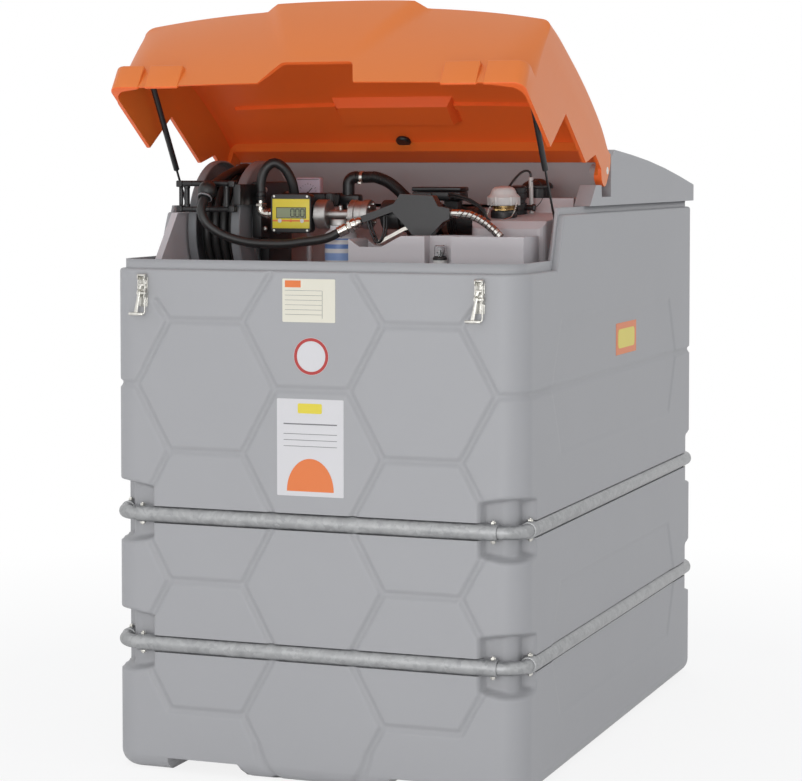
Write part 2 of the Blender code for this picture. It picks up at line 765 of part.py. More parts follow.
def lid_top(x, y_index, half=None):
    """A point (y, z) of the crown: highest in the middle, rounded over at the sides."""
    half = half or HALF_W
    y, middle, side = LID_CROWN[y_index]
    over = max(0.0, abs(x) - half + LID_SIDE_R)
    drop = LID_SIDE_R - math.sqrt(max(0.0, LID_SIDE_R ** 2 - over ** 2))
    return (y, mix(middle, side, (abs(x) / half) ** 2.3) - drop)


def lid_face(x, share, half=None, corner=(0.080, 0.085)):
    """A point (y, z) of the bulged front face, from its lower edge up to the crest."""
    half = half or HALF_W
    crest_y, crest_z = lid_top(x, 0, half)
    sweep = (crest_y - LID_FRONT_Y - LID_FACE_SET) * (0.45 * share + 0.55 * share ** 2)
    depth, reach = corner
    over = min(1.0, max(0.0, (abs(x) - half + reach) / reach))
    pull = depth * (1 - share) ** 0.8 * (1 - math.sqrt(1 - over ** 2))
    return (LID_FRONT_Y + LID_FACE_SET + sweep + pull, mix(lid_edge(x), crest_z, share))


def loft(sections):
    """Skins equal outlines (y, z), each standing at its own x, and closes both ends."""
    shape = bmesh.new()
    rings = [[shape.verts.new((x, y, z)) for y, z in outline] for x, outline in sections]
    for a, b in zip(rings, rings[1:]):
        for i in range(len(a)):
            j = (i + 1) % len(a)
            shape.faces.new((a[i], a[j], b[j], b[i]))
    shape.faces.new(rings[0])
    shape.faces.new(rings[-1])
    bmesh.ops.recalc_face_normals(shape, faces=shape.faces)
    return shape


def lid_section(x):
    """The closed lid's outline (y, z) at one place across it."""
    edge = lid_edge(x)
    seat = REAR_RIM_Z + LID_GAP + 0.007
    shelf = COVER_SLOPE_TOP[1] + LID_GAP + 0.002
    face = [lid_face(x, share) for share in FACE_SHARES]
    lower = [
        (STEP_FRONT_Y - LID_GAP, edge), (STEP_BACK_Y - LID_GAP, seat), (COVER_FRONT_Y - 0.018, seat),
        (COVER_SLOPE_TOP[0] - 0.010, shelf), (COVER_SHELF_Y + 0.004, shelf),
    ]
    tail = [(HINGE_Y + dy, HINGE_Z + dz) for dy, dz in LID_TAIL]
    crown = [lid_top(x, i) for i in range(len(LID_CROWN))]
    return face[:1] + lower + tail + crown[::-1] + face[:0:-1]


def lid_hollow(x):
    """The outline of the space inside the lid at one place across it."""
    half = HALF_W - LID_WALL
    face = [lid_face(x, share, half, (0.055, 0.065)) for share in FACE_SHARES]
    crown = [lid_top(x, i, half) for i in range(len(LID_CROWN))]
    front = [(y + LID_WALL, z - 0.003) for y, z in face]
    over = [(y + 0.004, z - LID_WALL) for y, z in crown[:-1]]
    return [(front[0][0], 1.20), (LID_BACK_Y, 1.20), (LID_BACK_Y, crown[-1][1] - LID_WALL)] + over[::-1] + front[::-1]


def lid_pad():
    """The raised middle of the lid, flush at its foot and proud at the crest."""
    foot = lid_face(0, PAD_FOOT_SHARE)
    crest_y, crest_z = lid_top(0, 0)
    side_z = lid_top(PAD_CREST_X, 0)[1]
    sunk = 0.012
    rows = (
        (foot[0] + 0.003, foot[1], PAD_FOOT_X, 0.0),
        (crest_y + 0.001, crest_z, PAD_CREST_X, PAD_HEIGHT),
        (LID_CROWN[2][0], LID_CROWN[2][1], PAD_CREST_X * 0.9, PAD_HEIGHT * 0.55),
        (LID_CROWN[4][0], LID_CROWN[4][1], PAD_CREST_X * 0.7, 0.001),
    )
    sections = []
    for y, z, half, height in rows:
        lean = Vector((y, z)) - Vector((HINGE_Y - 0.30, HINGE_Z - 0.10))
        out = lean.normalized()
        base = Vector((y, z)) - out * sunk
        tip = Vector((y, z)) + out * height
        top = half - min(half * 0.3, height * PAD_FLARE)
        sections.append([(-half, *base), (half, *base), (half, *(base + out * (sunk - crest_z + side_z + 0.002))),
                         (top, *tip), (-top, *tip), (-half, *(base + out * (sunk - crest_z + side_z + 0.002)))])
    shape = bmesh.new()
    rings = [[shape.verts.new(spot) for spot in ring] for ring in sections]
    for a, b in zip(rings, rings[1:]):
        for i in range(6):
            j = (i + 1) % 6
            shape.faces.new((a[i], a[j], b[j], b[i]))
    shape.faces.new(rings[0])
    shape.faces.new(rings[-1])
    bmesh.ops.recalc_face_normals(shape, faces=shape.faces)
    return shape


def latch_blocks(sign, latch_x):
    """The two upright blocks beside a latch slot, the outer one round the corner."""
    top = LID_EDGE_Z + LATCH_BLOCK_HEIGHT
    slot = LATCH_SLOT / 2
    back = LID_FRONT_Y + 0.035
    side = HALF_W - SEAT
    near = sign * latch_x - slot
    inner = ((near, LID_FRONT_Y), (near, back), (near - LATCH_BLOCK_WIDTH, back), (near - LATCH_BLOCK_WIDTH + 0.004, LID_FRONT_Y))
    far = sign * latch_x + slot
    radius = 0.030
    outer = [(far, back), (far, LID_FRONT_Y)]
    outer += arc((side - radius, LID_FRONT_Y + radius), radius, -90, 0, 4)
    outer += [(side, LID_FRONT_Y + 0.110), (side - 0.030, LID_FRONT_Y + 0.110), (side - 0.030, back)]
    for outline in (inner, outer):
        flat = [(sign * a, b) for a, b in outline]
        yield prism(flat, "Z", LID_EDGE_Z, top)


def open_lid(thing):
    """Hangs a piece of the lid on the hinge axis, at rest standing open."""
    pivot = Vector((0, HINGE_Y, HINGE_Z))
    thing.data.transform(Matrix.Translation(-pivot))
    thing.location = pivot
    thing.rotation_euler = (-LID_OPEN, 0, 0)
    return thing


def lid():
    """The orange lid, a moulded shell with ears that turn on the hinge pins."""
    body = loft([(x, lid_section(x)) for x in lid_stations(HALF_W, LID_STEPS)])
    cover = place("lid", body, LOOKS["orange"])
    join(cover, lid_pad())
    for sign, latch_x in ((-1, LATCH_X[0]), (1, LATCH_X[1])):
        for shape in latch_blocks(sign, latch_x):
            join(cover, shape)
    cut(cover, loft([(x, lid_hollow(x)) for x in lid_stations(HALF_W - LID_WALL, LID_INNER_STEPS)]))
    grip = ((GRIP_LOW_X[0], 1.30), (GRIP_LOW_X[1], 1.30), (GRIP_LOW_X[1], LID_EDGE_Z), (GRIP_TOP_X[1], GRIP_TOP_Z),
            (GRIP_TOP_X[0], GRIP_TOP_Z), (GRIP_LOW_X[0], LID_EDGE_Z))
    cut(cover, prism(grip, "Y", LID_FRONT_Y - 0.02, LID_FRONT_Y + 0.06))
    gap_x = HALF_W - EAR_THICKNESS
    cut(cover, block((-gap_x, LID_BACK_Y - 0.0005, 1.50), (gap_x, HINGE_Y + 0.086, HINGE_Z + 0.034)))
    cut(cover, rod((-gap_x, HINGE_Y, HINGE_Z), (gap_x, HINGE_Y, HINGE_Z), KNUCKLE_R + KNUCKLE_GAP + 0.006, 20))
    for sign in (1, -1):
        ends = sorted((sign * (gap_x - 0.01), sign * (HALF_W + 0.01)))
        bore = rod((ends[0], HINGE_Y, HINGE_Z), (ends[1], HINGE_Y, HINGE_Z), PIN_R + PIN_CLEARANCE, 12)
        cut(cover, bore)
        head_y, head_z = STRUT_HEAD_CLOSED
        boss = rod((sign * (HALF_W - 0.004), head_y, head_z),
                   (sign * (STRUT_X + EYE_HALF + SEAT), head_y, head_z), 0.009, 12)
        join(cover, boss)
    bake_modifiers(cover)
    return open_lid(cover)


def bake_modifiers(thing):
    """Applies the Booleans, so that the piece can be turned as one."""
    bpy.context.view_layer.update()
    depsgraph = bpy.context.evaluated_depsgraph_get()
    mesh = bpy.data.meshes.new_from_object(thing.evaluated_get(depsgraph))
    guides = [step.object for step in thing.modifiers]
    thing.modifiers.clear()
    thing.data = mesh
    for guide in guides:
        bpy.data.objects.remove(guide, do_unlink=True)


def hinge_pins():
    for side, sign in (("right", 1), ("left", -1)):
        inner = sign * (HALF_W - COVER_CHEEK - 0.004)
        outer = sign * (HALF_W - 0.002)
        place(f"hinge_pin_{side}", rod((inner, HINGE_Y, HINGE_Z), (outer, HINGE_Y, HINGE_Z), PIN_R, 12), LOOKS["steel"])


def strut_head():
    """Where the gas springs meet the open lid, (y, z)."""
    y = STRUT_HEAD_CLOSED[0] - HINGE_Y
    z = STRUT_HEAD_CLOSED[1] - HINGE_Z
    c, s = math.cos(LID_OPEN), math.sin(LID_OPEN)
    return (HINGE_Y + c * y + s * z, HINGE_Z - s * y + c * z)


def gas_springs():
    foot = Vector((0, *STRUT_FOOT))
    head = Vector((0, *strut_head()))
    along = (head - foot).normalized()
    reach = (head - foot).length
    mouth = reach - CYLINDER_LENGTH
    for side, sign in (("right", 1), ("left", -1)):
        x = Vector((sign * STRUT_X, 0, 0))
        across = Vector((sign * EYE_HALF, 0, 0))
        stem = rod(x + foot + along * (EYE_R - 0.001), x + foot + along * (mouth + 0.030), ROD_R, 10)
        piston = place(f"strut_rod_{side}", stem, LOOKS["steel"])
        join(piston, pipe(x + foot - across, x + foot + across, EYE_R, PIN_R / 2 + PIN_CLEARANCE, 12))
        barrel = turned(
            ((0, CYLINDER_LENGTH - 0.026), (CYLINDER_BORE_R, CYLINDER_LENGTH - 0.026), (CYLINDER_BORE_R, 0),
             (CYLINDER_R, 0), (CYLINDER_R, CYLINDER_LENGTH - 0.020), (0.005, CYLINDER_LENGTH - 0.016),
             (0.005, CYLINDER_LENGTH - 0.005), (0, CYLINDER_LENGTH - 0.005)),
            x + foot + along * mouth, along, 12,
        )
        cylinder = place(f"strut_cylinder_{side}", barrel, LOOKS["black"])
        join(cylinder, rod(x + head - across, x + head + across, EYE_R, 12))
        wall = sign * (HALF_W - BUND_WALL - SEAT)
        pin_start = x + foot - across
        place(f"strut_pin_{side}", rod(pin_start, Vector((wall, foot.y, foot.z)), PIN_R / 2, 12), LOOKS["steel"])


def belts():
    """Two frames of galvanised tube: plain tubes front and back, bent ends on the side tubes."""
    bend_x = HALF_W - TUBE_SINK - ELBOW_BEND_R
    bend_y = HALF_D - TUBE_SINK - ELBOW_BEND_R
    line_x = HALF_W - TUBE_SINK
    line_y = HALF_D - TUBE_SINK
    for level, z in zip(("upper", "lower"), belt_heights()):
        for wall, sign in (("front", -1), ("back", 1)):
            shape = pipe((-bend_x, sign * line_y, z), (bend_x, sign * line_y, z), TUBE_R, TUBE_BORE_R)
            place(f"belt_{level}_{wall}", shape, LOOKS["steel"])
        for side, sign in (("right", 1), ("left", -1)):
            bar = rod((sign * line_x, -bend_y, z), (sign * line_x, bend_y, z), TUBE_R, 18)
            tube_side = place(f"belt_{level}_{side}", bar, LOOKS["steel"])
            for end in (-1, 1):
                bend = arc((bend_x, bend_y), ELBOW_BEND_R, 90, 0, 4)
                route = [(bend_x - ELBOW_PLUG, bend_y + ELBOW_BEND_R)] + bend + [(bend_x + ELBOW_BEND_R, bend_y - 0.02)]
                points = [(sign * a, end * b, z) for a, b in route]
                join(tube_side, tube_shape(points, ELBOW_R, 2))


def nozzle_tray():
    """The moulded trough that the nozzle lies in, with a niche for the leak indicator."""
    low = (TRAY_LEFT_X, TRAY_FRONT_Y, TRAY_BASE_Z)
    tray = place("nozzle_tray", block(low, (TRAY_RIGHT_X, TRAY_BACK_Y, TRAY_TOP_Z)), LOOKS["grey"])
    floor = TRAY_BASE_Z + 0.10
    over = TRAY_TOP_Z + 0.02
    back = TRAY_BACK_Y - TRAY_WALL
    front = TRAY_FRONT_Y + TRAY_WALL
    spans = (
        (TRAY_LEFT_X + TRAY_WALL, SADDLE_X[0], front),
        (SADDLE_X[1], NICHE_LEFT_X - TRAY_WALL, front),
        (NICHE_LEFT_X - TRAY_WALL - 0.001, NICHE_RIGHT_X + TRAY_WALL + 0.001, TRAY_FRONT_Y + NICHE_DEPTH + TRAY_WALL),
        (NICHE_RIGHT_X + TRAY_WALL, TRAY_RIGHT_X - TRAY_WALL, front),
    )
    for left, right, near in spans:
        cut(tray, block((left, near, floor), (right, back, over)))
    ramp = (
        (TRAY_LEFT_X - 0.01, over), (TRAY_LEFT_X - 0.01, TRAY_TOP_Z - 0.002),
        (TRAY_LEFT_X + 0.03, TRAY_LEDGE_Z), (0.113, TRAY_LEDGE_Z), (0.170, TRAY_TOP_Z), (0.170, over),
    )
    cut(tray, prism(ramp, "Y", TRAY_FRONT_Y - 0.01, TRAY_BACK_Y + 0.01))
    cut(tray, block((SADDLE_X[0] - 0.001, front, SADDLE_Z), (SADDLE_X[1] + 0.001, back, over)))
    niche_floor = TRAY_BASE_Z + NICHE_RISE
    cut(tray, block((NICHE_LEFT_X, TRAY_FRONT_Y - 0.01, niche_floor), (NICHE_RIGHT_X, TRAY_FRONT_Y + NICHE_DEPTH, over)))
    return tray


def reel():
    """The hose reel: bracket, drum with two dished flanges, and the wound hose."""
    width = REEL_RIGHT_X - REEL_LEFT_X
    web = FLANGE_SHEET
    r = REEL_R
    profile = (
        (0, 0), (r - 0.010, 0), (r, 0.004), (r, FLANGE_LIP), (r - 0.006, FLANGE_LIP),
        (r - 0.009, web), (HUB_R, web), (HUB_R, width - web), (r - 0.009, width - web),
        (r - 0.006, width - FLANGE_LIP), (r, width - FLANGE_LIP), (r, width - 0.004),
        (r - 0.010, width), (AXLE_R, width), (AXLE_R, width + 0.040), (0, width + 0.040),
    )
    place("reel_drum", turned(profile, (REEL_LEFT_X, REEL_Y, REEL_Z), (1, 0, 0), 24), LOOKS["reel_grey"])
    gap = SEAT
    start = REEL_LEFT_X + FLANGE_LIP + 0.002
    end = REEL_RIGHT_X - FLANGE_LIP - 0.002
    wound = pipe((start, REEL_Y, REEL_Z), (end, REEL_Y, REEL_Z), WOUND_R, HUB_R + gap, 24)
    place("wound_hose", wound, LOOKS["black"])
    front = REEL_Y - BRACKET_REACH
    arm = (
        (front, 1.420), (front, 1.575), (REEL_Y + 0.10, 1.575), (REEL_Y + 0.10, BAY_FLOOR_Z + SEAT),
        (REEL_Y - 0.06, BAY_FLOOR_Z + SEAT), (REEL_Y - 0.06, 1.420),
    )
    left = REEL_RIGHT_X + 0.006
    bracket = place("reel_bracket", prism(arm, "X", left, left + 0.028), LOOKS["black"])
    cut(bracket, rod((left - 0.01, REEL_Y, REEL_Z), (left + 0.05, REEL_Y, REEL_Z), AXLE_R + 0.0006, 24))


def hose_guide():
    """The roller frame in front of the reel, with two upright rollers."""
    x0, x1 = GUIDE_X
    z0, z1 = GUIDE_Z
    frame = place("roller_frame", block((x0, GUIDE_FRONT_Y, z0), (x1, GUIDE_BACK_Y, z1)), LOOKS["black"])
    cut(frame, block((x0 + 0.012, GUIDE_FRONT_Y - 0.01, z0 + 0.014), (x1 - 0.012, GUIDE_BACK_Y + 0.01, z1 - 0.014)))
    arm_x = (REEL_RIGHT_X + 0.005, REEL_RIGHT_X + 0.020)
    join(frame, block((x1 - 0.004, GUIDE_FRONT_Y + 0.004, z0 + 0.02), (arm_x[1], GUIDE_BACK_Y, z1 - 0.01)))
    join(frame, block((arm_x[0], GUIDE_BACK_Y - 0.003, z0 + 0.02), (arm_x[1], REEL_Y - BRACKET_REACH - SEAT, z1 - 0.01)))
    for side, x in (("left", x0 + 0.028), ("right", x1 - 0.028)):
        middle = (GUIDE_FRONT_Y + GUIDE_BACK_Y) / 2
        place(f"guide_roller_{side}", rod((x, middle, z0 + 0.0143), (x, middle, z1 - 0.0143), 0.009, 16), LOOKS["black"])


def hose_stop():
    """The rubber ball that keeps the hose end out of the reel, with its clamp ring."""
    start = Vector(HOSE_ROUTE[0])
    run = (Vector(HOSE_ROUTE[1]) - start).normalized()
    centre = start - run * 0.0313
    ball = bmesh.new()
    bmesh.ops.create_uvsphere(ball, u_segments=20, v_segments=12, radius=BALL_R)
    bmesh.ops.translate(ball, verts=ball.verts, vec=centre)
    stop = place("hose_stop_ball", ball, LOOKS["black"])
    join(stop, rod(centre, start - run * SEAT, 0.0165, 20))


def hose():
    route = smooth_route(HOSE_ROUTE, 2.2 * HOSE_R * 1.2)
    tube("dispensing_hose", route, HOSE_R, LOOKS["black"], 2)


def stack(name, look, parts, base, up=(0, 0, 1), sides=20):
    """A turned piece given as (radius, height above the base) points."""
    return place(name, turned([(0, parts[0][1])] + list(parts) + [(0, parts[-1][1])], base, up, sides), look)


def flow_line():
    """The pipework in front: meter, flanged pipe, filter, and the hose up to the reel."""
    y, z = LINE_Y, LINE_Z
    x0, x1 = METER_X
    meter = place("meter", rounded_block((x0, METER_FRONT_Y, METER_Z[0]), (x1, METER_BACK_Y, METER_Z[1]), 0.006), LOOKS["black"])
    join(meter, rod((x0 + 0.012, y, z), (x1 - 0.010, y, z), 0.034, 24))
    elbow = place("feed_elbow", rod((ELBOW_X, y, z), (x0 + 0.012 - SEAT, y, z), 0.0135), LOOKS["steel"])
    join(elbow, rod((ELBOW_X, y, z - 0.0135), (ELBOW_X, y, FEED_BASE_Z - SEAT), 0.0135))
    join(elbow, rod((ELBOW_X, y, z + 0.012), (ELBOW_X, y, z + 0.026), 0.017, 6))
    tube("feed_hose", smooth_route(feed_route(), 0.030), FEED_R, LOOKS["black"], 2)
    start = x1 - 0.010 + SEAT
    profile = [(0, 0), (PIPE_R, 0)]
    for low, high in FLANGES:
        profile += [(PIPE_R, low - start), (FLANGE_R, low - start), (FLANGE_R, high - start), (PIPE_R, high - start)]
    profile += [(PIPE_R, PUMP_FLANGE_X - start), (0, PUMP_FLANGE_X - start)]
    place("outlet_pipe", turned(profile, (start, y, z), (1, 0, 0), 18), LOOKS["steel"])
    head_x = (FLANGES[0][1] + FLANGES[1][0]) / 2
    head = ((0.0305, 0), (0.0305, HEAD_Z[1] - HEAD_Z[0] - 0.003), (0.028, HEAD_Z[1] - HEAD_Z[0]))
    stack("filter_head", LOOKS["steel"], head, (head_x, y, HEAD_Z[0]), sides=24)
    can = ((0.036, 0), (0.042, 0.004), (0.0445, 0.014), (0.0445, 0.088), (0.040, 0.098), (0.030, 0.1045), (0.030, 0.1165))
    base = (head_x, y, HEAD_Z[0] - 0.1165 - SEAT)
    stack("filter_can", LOOKS["white"], can, base, sides=20)


def rounded_block(low, high, radius, segments=1):
    shape = block(low, high)
    return round_edges(shape, lambda a, b: True, radius, segments)


def feed_route():
    return (
        (ELBOW_X, LINE_Y, FEED_BASE_Z),
        (ELBOW_X, LINE_Y, FEED_BASE_Z + 0.032),
        (ELBOW_X, LINE_Y, FEED_BASE_Z + 0.050),
        (ELBOW_X + 0.010, LINE_Y + 0.004, FEED_BASE_Z + 0.084),
        (ELBOW_X + 0.034, LINE_Y + 0.012, FEED_BASE_Z + 0.104),
        (ELBOW_X + 0.060, LINE_Y + 0.026, FEED_BASE_Z + 0.088),
        (ELBOW_X + 0.076, LINE_Y + 0.042, FEED_BASE_Z + 0.050),
        (ELBOW_X + 0.080, LINE_Y + 0.052, FEED_BASE_Z + 0.008),
        (ELBOW_X + 0.084, LINE_Y + 0.064, FEED_BASE_Z - 0.032),
        (ELBOW_X + 0.086, LINE_Y + 0.092, FEED_BASE_Z - 0.062),
        (ELBOW_X + 0.072, REEL_Y - 0.014, REEL_Z + 0.004),
        (REEL_RIGHT_X + 0.090, REEL_Y, REEL_Z),
        (REEL_RIGHT_X + 0.074, REEL_Y, REEL_Z),
        (REEL_RIGHT_X + 0.040 + SEAT, REEL_Y, REEL_Z),
    )


def pump():
    """The pump on its rail: body, motor with terminal box, suction hose."""
    x0, x1 = PUMP_X
    body = place("pump_body", rod((x0, PUMP_Y, PUMP_Z), (x1, PUMP_Y, PUMP_Z), 0.052, 22), LOOKS["black"])
    join(body, rounded_block((x0 - 0.010, PUMP_Y - 0.034, PUMP_Z - 0.034), (x0 + 0.05, PUMP_Y + 0.034, PUMP_Z + 0.050), 0.008))
    join(body, block((x0 + 0.01, PUMP_Y - 0.030, BAY_FLOOR_Z + SEAT), (x1 - 0.01, PUMP_Y + 0.030, PUMP_Z - 0.02)))
    flange = rod((PUMP_FLANGE_X + SEAT, LINE_Y, LINE_Z), (PUMP_FLANGE_X + 0.052, LINE_Y, LINE_Z), 0.040, 24)
    join(body, flange)
    join(body, rounded_block((PUMP_FLANGE_X + 0.022, LINE_Y - 0.02, LINE_Z - 0.031), (x0 + 0.05, PUMP_Y, LINE_Z + 0.029), 0.008))
    spot = Vector(suction_route()[-1])
    run = (spot - Vector(suction_route()[-2])).normalized()
    join(body, rod(spot + run * SEAT, spot + run * 0.040, SUCTION_R + 0.003, 16))
    motor = place("pump_motor", rod((x1 + SEAT, PUMP_Y, MOTOR_Z), (MOTOR_END_X, PUMP_Y, MOTOR_Z), 0.040, 22), LOOKS["black"])
    place("terminal_box", rounded_block(TERMINAL_LOW, TERMINAL_HIGH, 0.006), LOOKS["black"])
    join(motor, block((x1 + 0.02, PUMP_Y - 0.02, MOTOR_Z), (x1 + 0.06, PUMP_Y + 0.02, TERMINAL_LOW[2] - SEAT)))
    tube("suction_hose", smooth_route(suction_route(), 0.036), SUCTION_R, LOOKS["black"])
    bend = arc((SUCTION_X + SUCTION_BEND, SUCTION_TOP_Z - SUCTION_BEND), SUCTION_BEND, 180, 90, 5)
    route = [(SUCTION_X, BAY_FLOOR_Z + SEAT)] + bend + [(SUCTION_X + SUCTION_BEND + 0.004, SUCTION_TOP_Z)]
    place("suction_pipe", tube_shape([(x, SUCTION_Y, z) for x, z in route], SUCTION_R + 0.002), LOOKS["black"])


def suction_route():
    start = SUCTION_X + SUCTION_BEND + 0.004 + SEAT
    return (
        (start, SUCTION_Y, SUCTION_TOP_Z),
        (start + 0.037, SUCTION_Y, SUCTION_TOP_Z),
        (start + 0.054, SUCTION_Y, SUCTION_TOP_Z),
        (start + 0.090, SUCTION_Y - 0.002, SUCTION_TOP_Z - 0.012),
        (start + 0.118, SUCTION_Y - 0.006, SUCTION_TOP_Z - 0.030),
        (start + 0.132, SUCTION_Y - 0.008, SUCTION_TOP_Z - 0.042),
        (start + 0.158, SUCTION_Y - 0.011, SUCTION_TOP_Z - 0.064),
    )


def gauge():
    """The level gauge behind the meter, a square dial case on its stem."""
    x0, x1 = GAUGE_X
    middle = (x0 + x1) / 2
    body = place("level_gauge", rounded_block((x0, GAUGE_Y - 0.012, 1.512), (x1, GAUGE_Y + 0.012, 1.586), 0.005), LOOKS["white"])
    join(body, rod((middle, GAUGE_Y, BAY_FLOOR_Z + SEAT), (middle, GAUGE_Y, 1.52), 0.010))


def platform_top(y):
    """Height of the sloping platform at a place along the depth."""
    share = (y - PLATFORM_FRONT_Y - 0.02) / (VENT_STEP_Y - PLATFORM_FRONT_Y - 0.02)
    return PLATFORM_FRONT_Z + (PLATFORM_BACK_Z - PLATFORM_FRONT_Z) * share


def fill_point():
    """Filler neck and cap, overfill sensor, level tube, vent and leak indicator."""
    slope = (PLATFORM_BACK_Z - PLATFORM_FRONT_Z) / (VENT_STEP_Y - PLATFORM_FRONT_Y - 0.02)
    up = (0, -slope, 1)
    base = (FILL_X, FILL_Y, platform_top(FILL_Y) + SEAT)
    stack("fill_neck", LOOKS["black"], ((0.036, 0), (0.036, 0.020), (0.027, 0.020), (0.027, 0.034)), base, up)
    top = Vector(base) + Vector(up).normalized() * (0.034 + SEAT)
    cap = ((0.036, 0), (0.042, 0.006), (0.044, 0.024), (0.036, 0.034), (0.030, 0.046), (0.022, 0.050))
    stack("fill_cap", LOOKS["white"], cap, top, up, 20)
    base = (SENSOR_X, SENSOR_Y, platform_top(SENSOR_Y) + SEAT)
    body = ((0.024, 0), (0.024, 0.030), (0.021, 0.032), (0.021, 0.040), (0.024, 0.042), (0.024, 0.074), (0.020, 0.078))
    sensor = stack("fill_sensor", LOOKS["black"], body, base, up, 16)
    join(sensor, rod((SENSOR_X + 0.018, SENSOR_Y, base[2] + 0.018), (SENSOR_X + 0.048, SENSOR_Y, base[2] + 0.018), 0.008, 12))
    base = (LEVEL_X, SENSOR_Y + 0.028, platform_top(SENSOR_Y + 0.028) + SEAT)
    stack("level_tube", LOOKS["white"], ((0.006, 0), (0.006, 0.100)), base, up, 12)
    base = (VENT_X, VENT_Y, VENT_STEP_Z + SEAT)
    cap = ((0.034, 0), (0.034, 0.026), (0.044, 0.026), (0.044, 0.034), (0.036, 0.044), (0.016, 0.052))
    stack("vent_cap", LOOKS["black"], cap, base, sides=18)
    x = (NICHE_LEFT_X + NICHE_RIGHT_X) / 2
    glass = ((0.019, 0), (0.019, 0.030), (0.015, 0.032), (0.015, 0.056), (0.011, 0.062))
    stack("leak_indicator", LOOKS["black"], glass, (x, TRAY_FRONT_Y + 0.019, TRAY_BASE_Z + NICHE_RISE + SEAT), sides=20)


def nozzle():
    """The dispensing nozzle at the hose end, with its swivel, trigger and spout."""
    end = Vector(HOSE_ROUTE[-1])
    run = (end - Vector(HOSE_ROUTE[-2])).normalized()
    fitting = ((0.0155, 0), (0.0155, 0.026), (0.012, 0.030), (0.017, 0.032), (0.017, 0.046), (0.013, 0.050),
               (0.013, 0.066), (0.006, 0.070), (0.006, 0.0755))
    stack("hose_fitting", LOOKS["steel"], fitting, end + run * SEAT, run, 12)
    outline = (
        (0.0335, 1.4665), (0.118, 1.4960), (0.148, 1.4660), (0.176, 1.4340), (0.226, 1.4340), (0.262, 1.4700),
        (0.280, 1.4780), (0.280, 1.5060), (0.248, 1.5120), (0.232, 1.5400), (0.140, 1.5440), (0.122, 1.5180),
        (0.0265, 1.4835),
    )
    body = place("nozzle_body", prism(outline, "Y", NOZZLE_Y - 0.018, NOZZLE_Y + 0.018), LOOKS["black"])
    cut(body, block((0.120, NOZZLE_Y - 0.0060, 1.43), (LEVER_PIVOT[0] + 0.012, NOZZLE_Y + 0.0060, LEVER_PIVOT[1] + 0.012)))
    join(body, rod((LEVER_PIVOT[0], NOZZLE_Y - 0.010, LEVER_PIVOT[1]), (LEVER_PIVOT[0], NOZZLE_Y + 0.010, LEVER_PIVOT[1]), 0.0022, 10))
    tube("nozzle_spout", smooth_route(SPOUT_ROUTE, 0.025), 0.0115, LOOKS["steel"])
    x, z = LEVER_PIVOT
    arm = ((x - 0.100, z - 0.046), (x - 0.094, z - 0.048), (x - 0.020, z - 0.010), (x + 0.003, z - 0.004),
           (x + 0.003, z + 0.004), (x - 0.022, z - 0.001), (x - 0.098, z - 0.040))
    lever = place("nozzle_lever", prism(arm, "Y", NOZZLE_Y - 0.0050, NOZZLE_Y + 0.0050), LOOKS["steel"])
    join(lever, rod((x, NOZZLE_Y - 0.0050, z), (x, NOZZLE_Y + 0.0050, z), 0.0065, 14))
    cut(lever, rod((x, NOZZLE_Y - 0.0100, z), (x, NOZZLE_Y + 0.0100, z), 0.0027, 10))


def latches():
    """Over-centre latches on the front wall: base plate, lever with its bar, and hook."""
    for side, x in (("left", LATCH_X[0]), ("right", LATCH_X[1])):
        y = -HALF_D - SEAT
        plate = place(f"latch_base_{side}", block((x - 0.012, y - 0.003, LATCH_Z[0]), (x + 0.012, y, LATCH_Z[1])), LOOKS["steel"])
        for ear in (-1, 1):
            far = x + ear * 0.012
            near = x + ear * 0.0095
            join(plate, block((min(near, far), y - 0.018, LATCH_PIVOT_Z - 0.012), (max(near, far), y - 0.001, LATCH_PIVOT_Z + 0.012)))
        pivot = (y - 0.012, LATCH_PIVOT_Z)
        lever = place(f"latch_lever_{side}", rod((x - 0.009, *pivot), (x + 0.009, *pivot), 0.005, 12), LOOKS["steel"])
        arm = ((pivot[0] - 0.004, pivot[1] + 0.002), (pivot[0] + 0.003, pivot[1]), (y - 0.014, LATCH_BAR_Z), (y - 0.020, LATCH_BAR_Z))
        join(lever, prism(arm, "X", x - 0.004, x + 0.004))
        join(lever, rod((x - 0.036, y - 0.018, LATCH_BAR_Z), (x + 0.014, y - 0.018, LATCH_BAR_Z), 0.004, 12))


def main():
    clear_scene()
    LOOKS.update(
        grey=finish("grey polyethylene", GREY, 0.55),
        orange=finish("orange polyethylene", ORANGE, 0.45),
        steel=finish("galvanised steel", (0.5, 0.51, 0.52), 0.4, 1.0),
        black=finish("black rubber", BLACK, 0.5),
        reel_grey=finish("grey reel plastic", (0.22, 0.24, 0.25), 0.5),
        white=finish("white plastic", (0.75, 0.74, 0.72), 0.4),
    )
    bund_shell()
    inner_tank()
    bay_deck()
    rear_cover()
    lid()
    hinge_pins()
    gas_springs()
    belts()
    nozzle_tray()
    reel()
    hose_guide()
    hose_stop()
    hose()
    flow_line()
    pump()
    gauge()
    fill_point()
    nozzle()
    latches()


main()
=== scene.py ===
"""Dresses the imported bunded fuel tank: moulded shell, open lid, pump bay, tube belts and small fittings."""
import math

import bpy
import bmesh
import numpy as np
from mathutils import Matrix, Vector


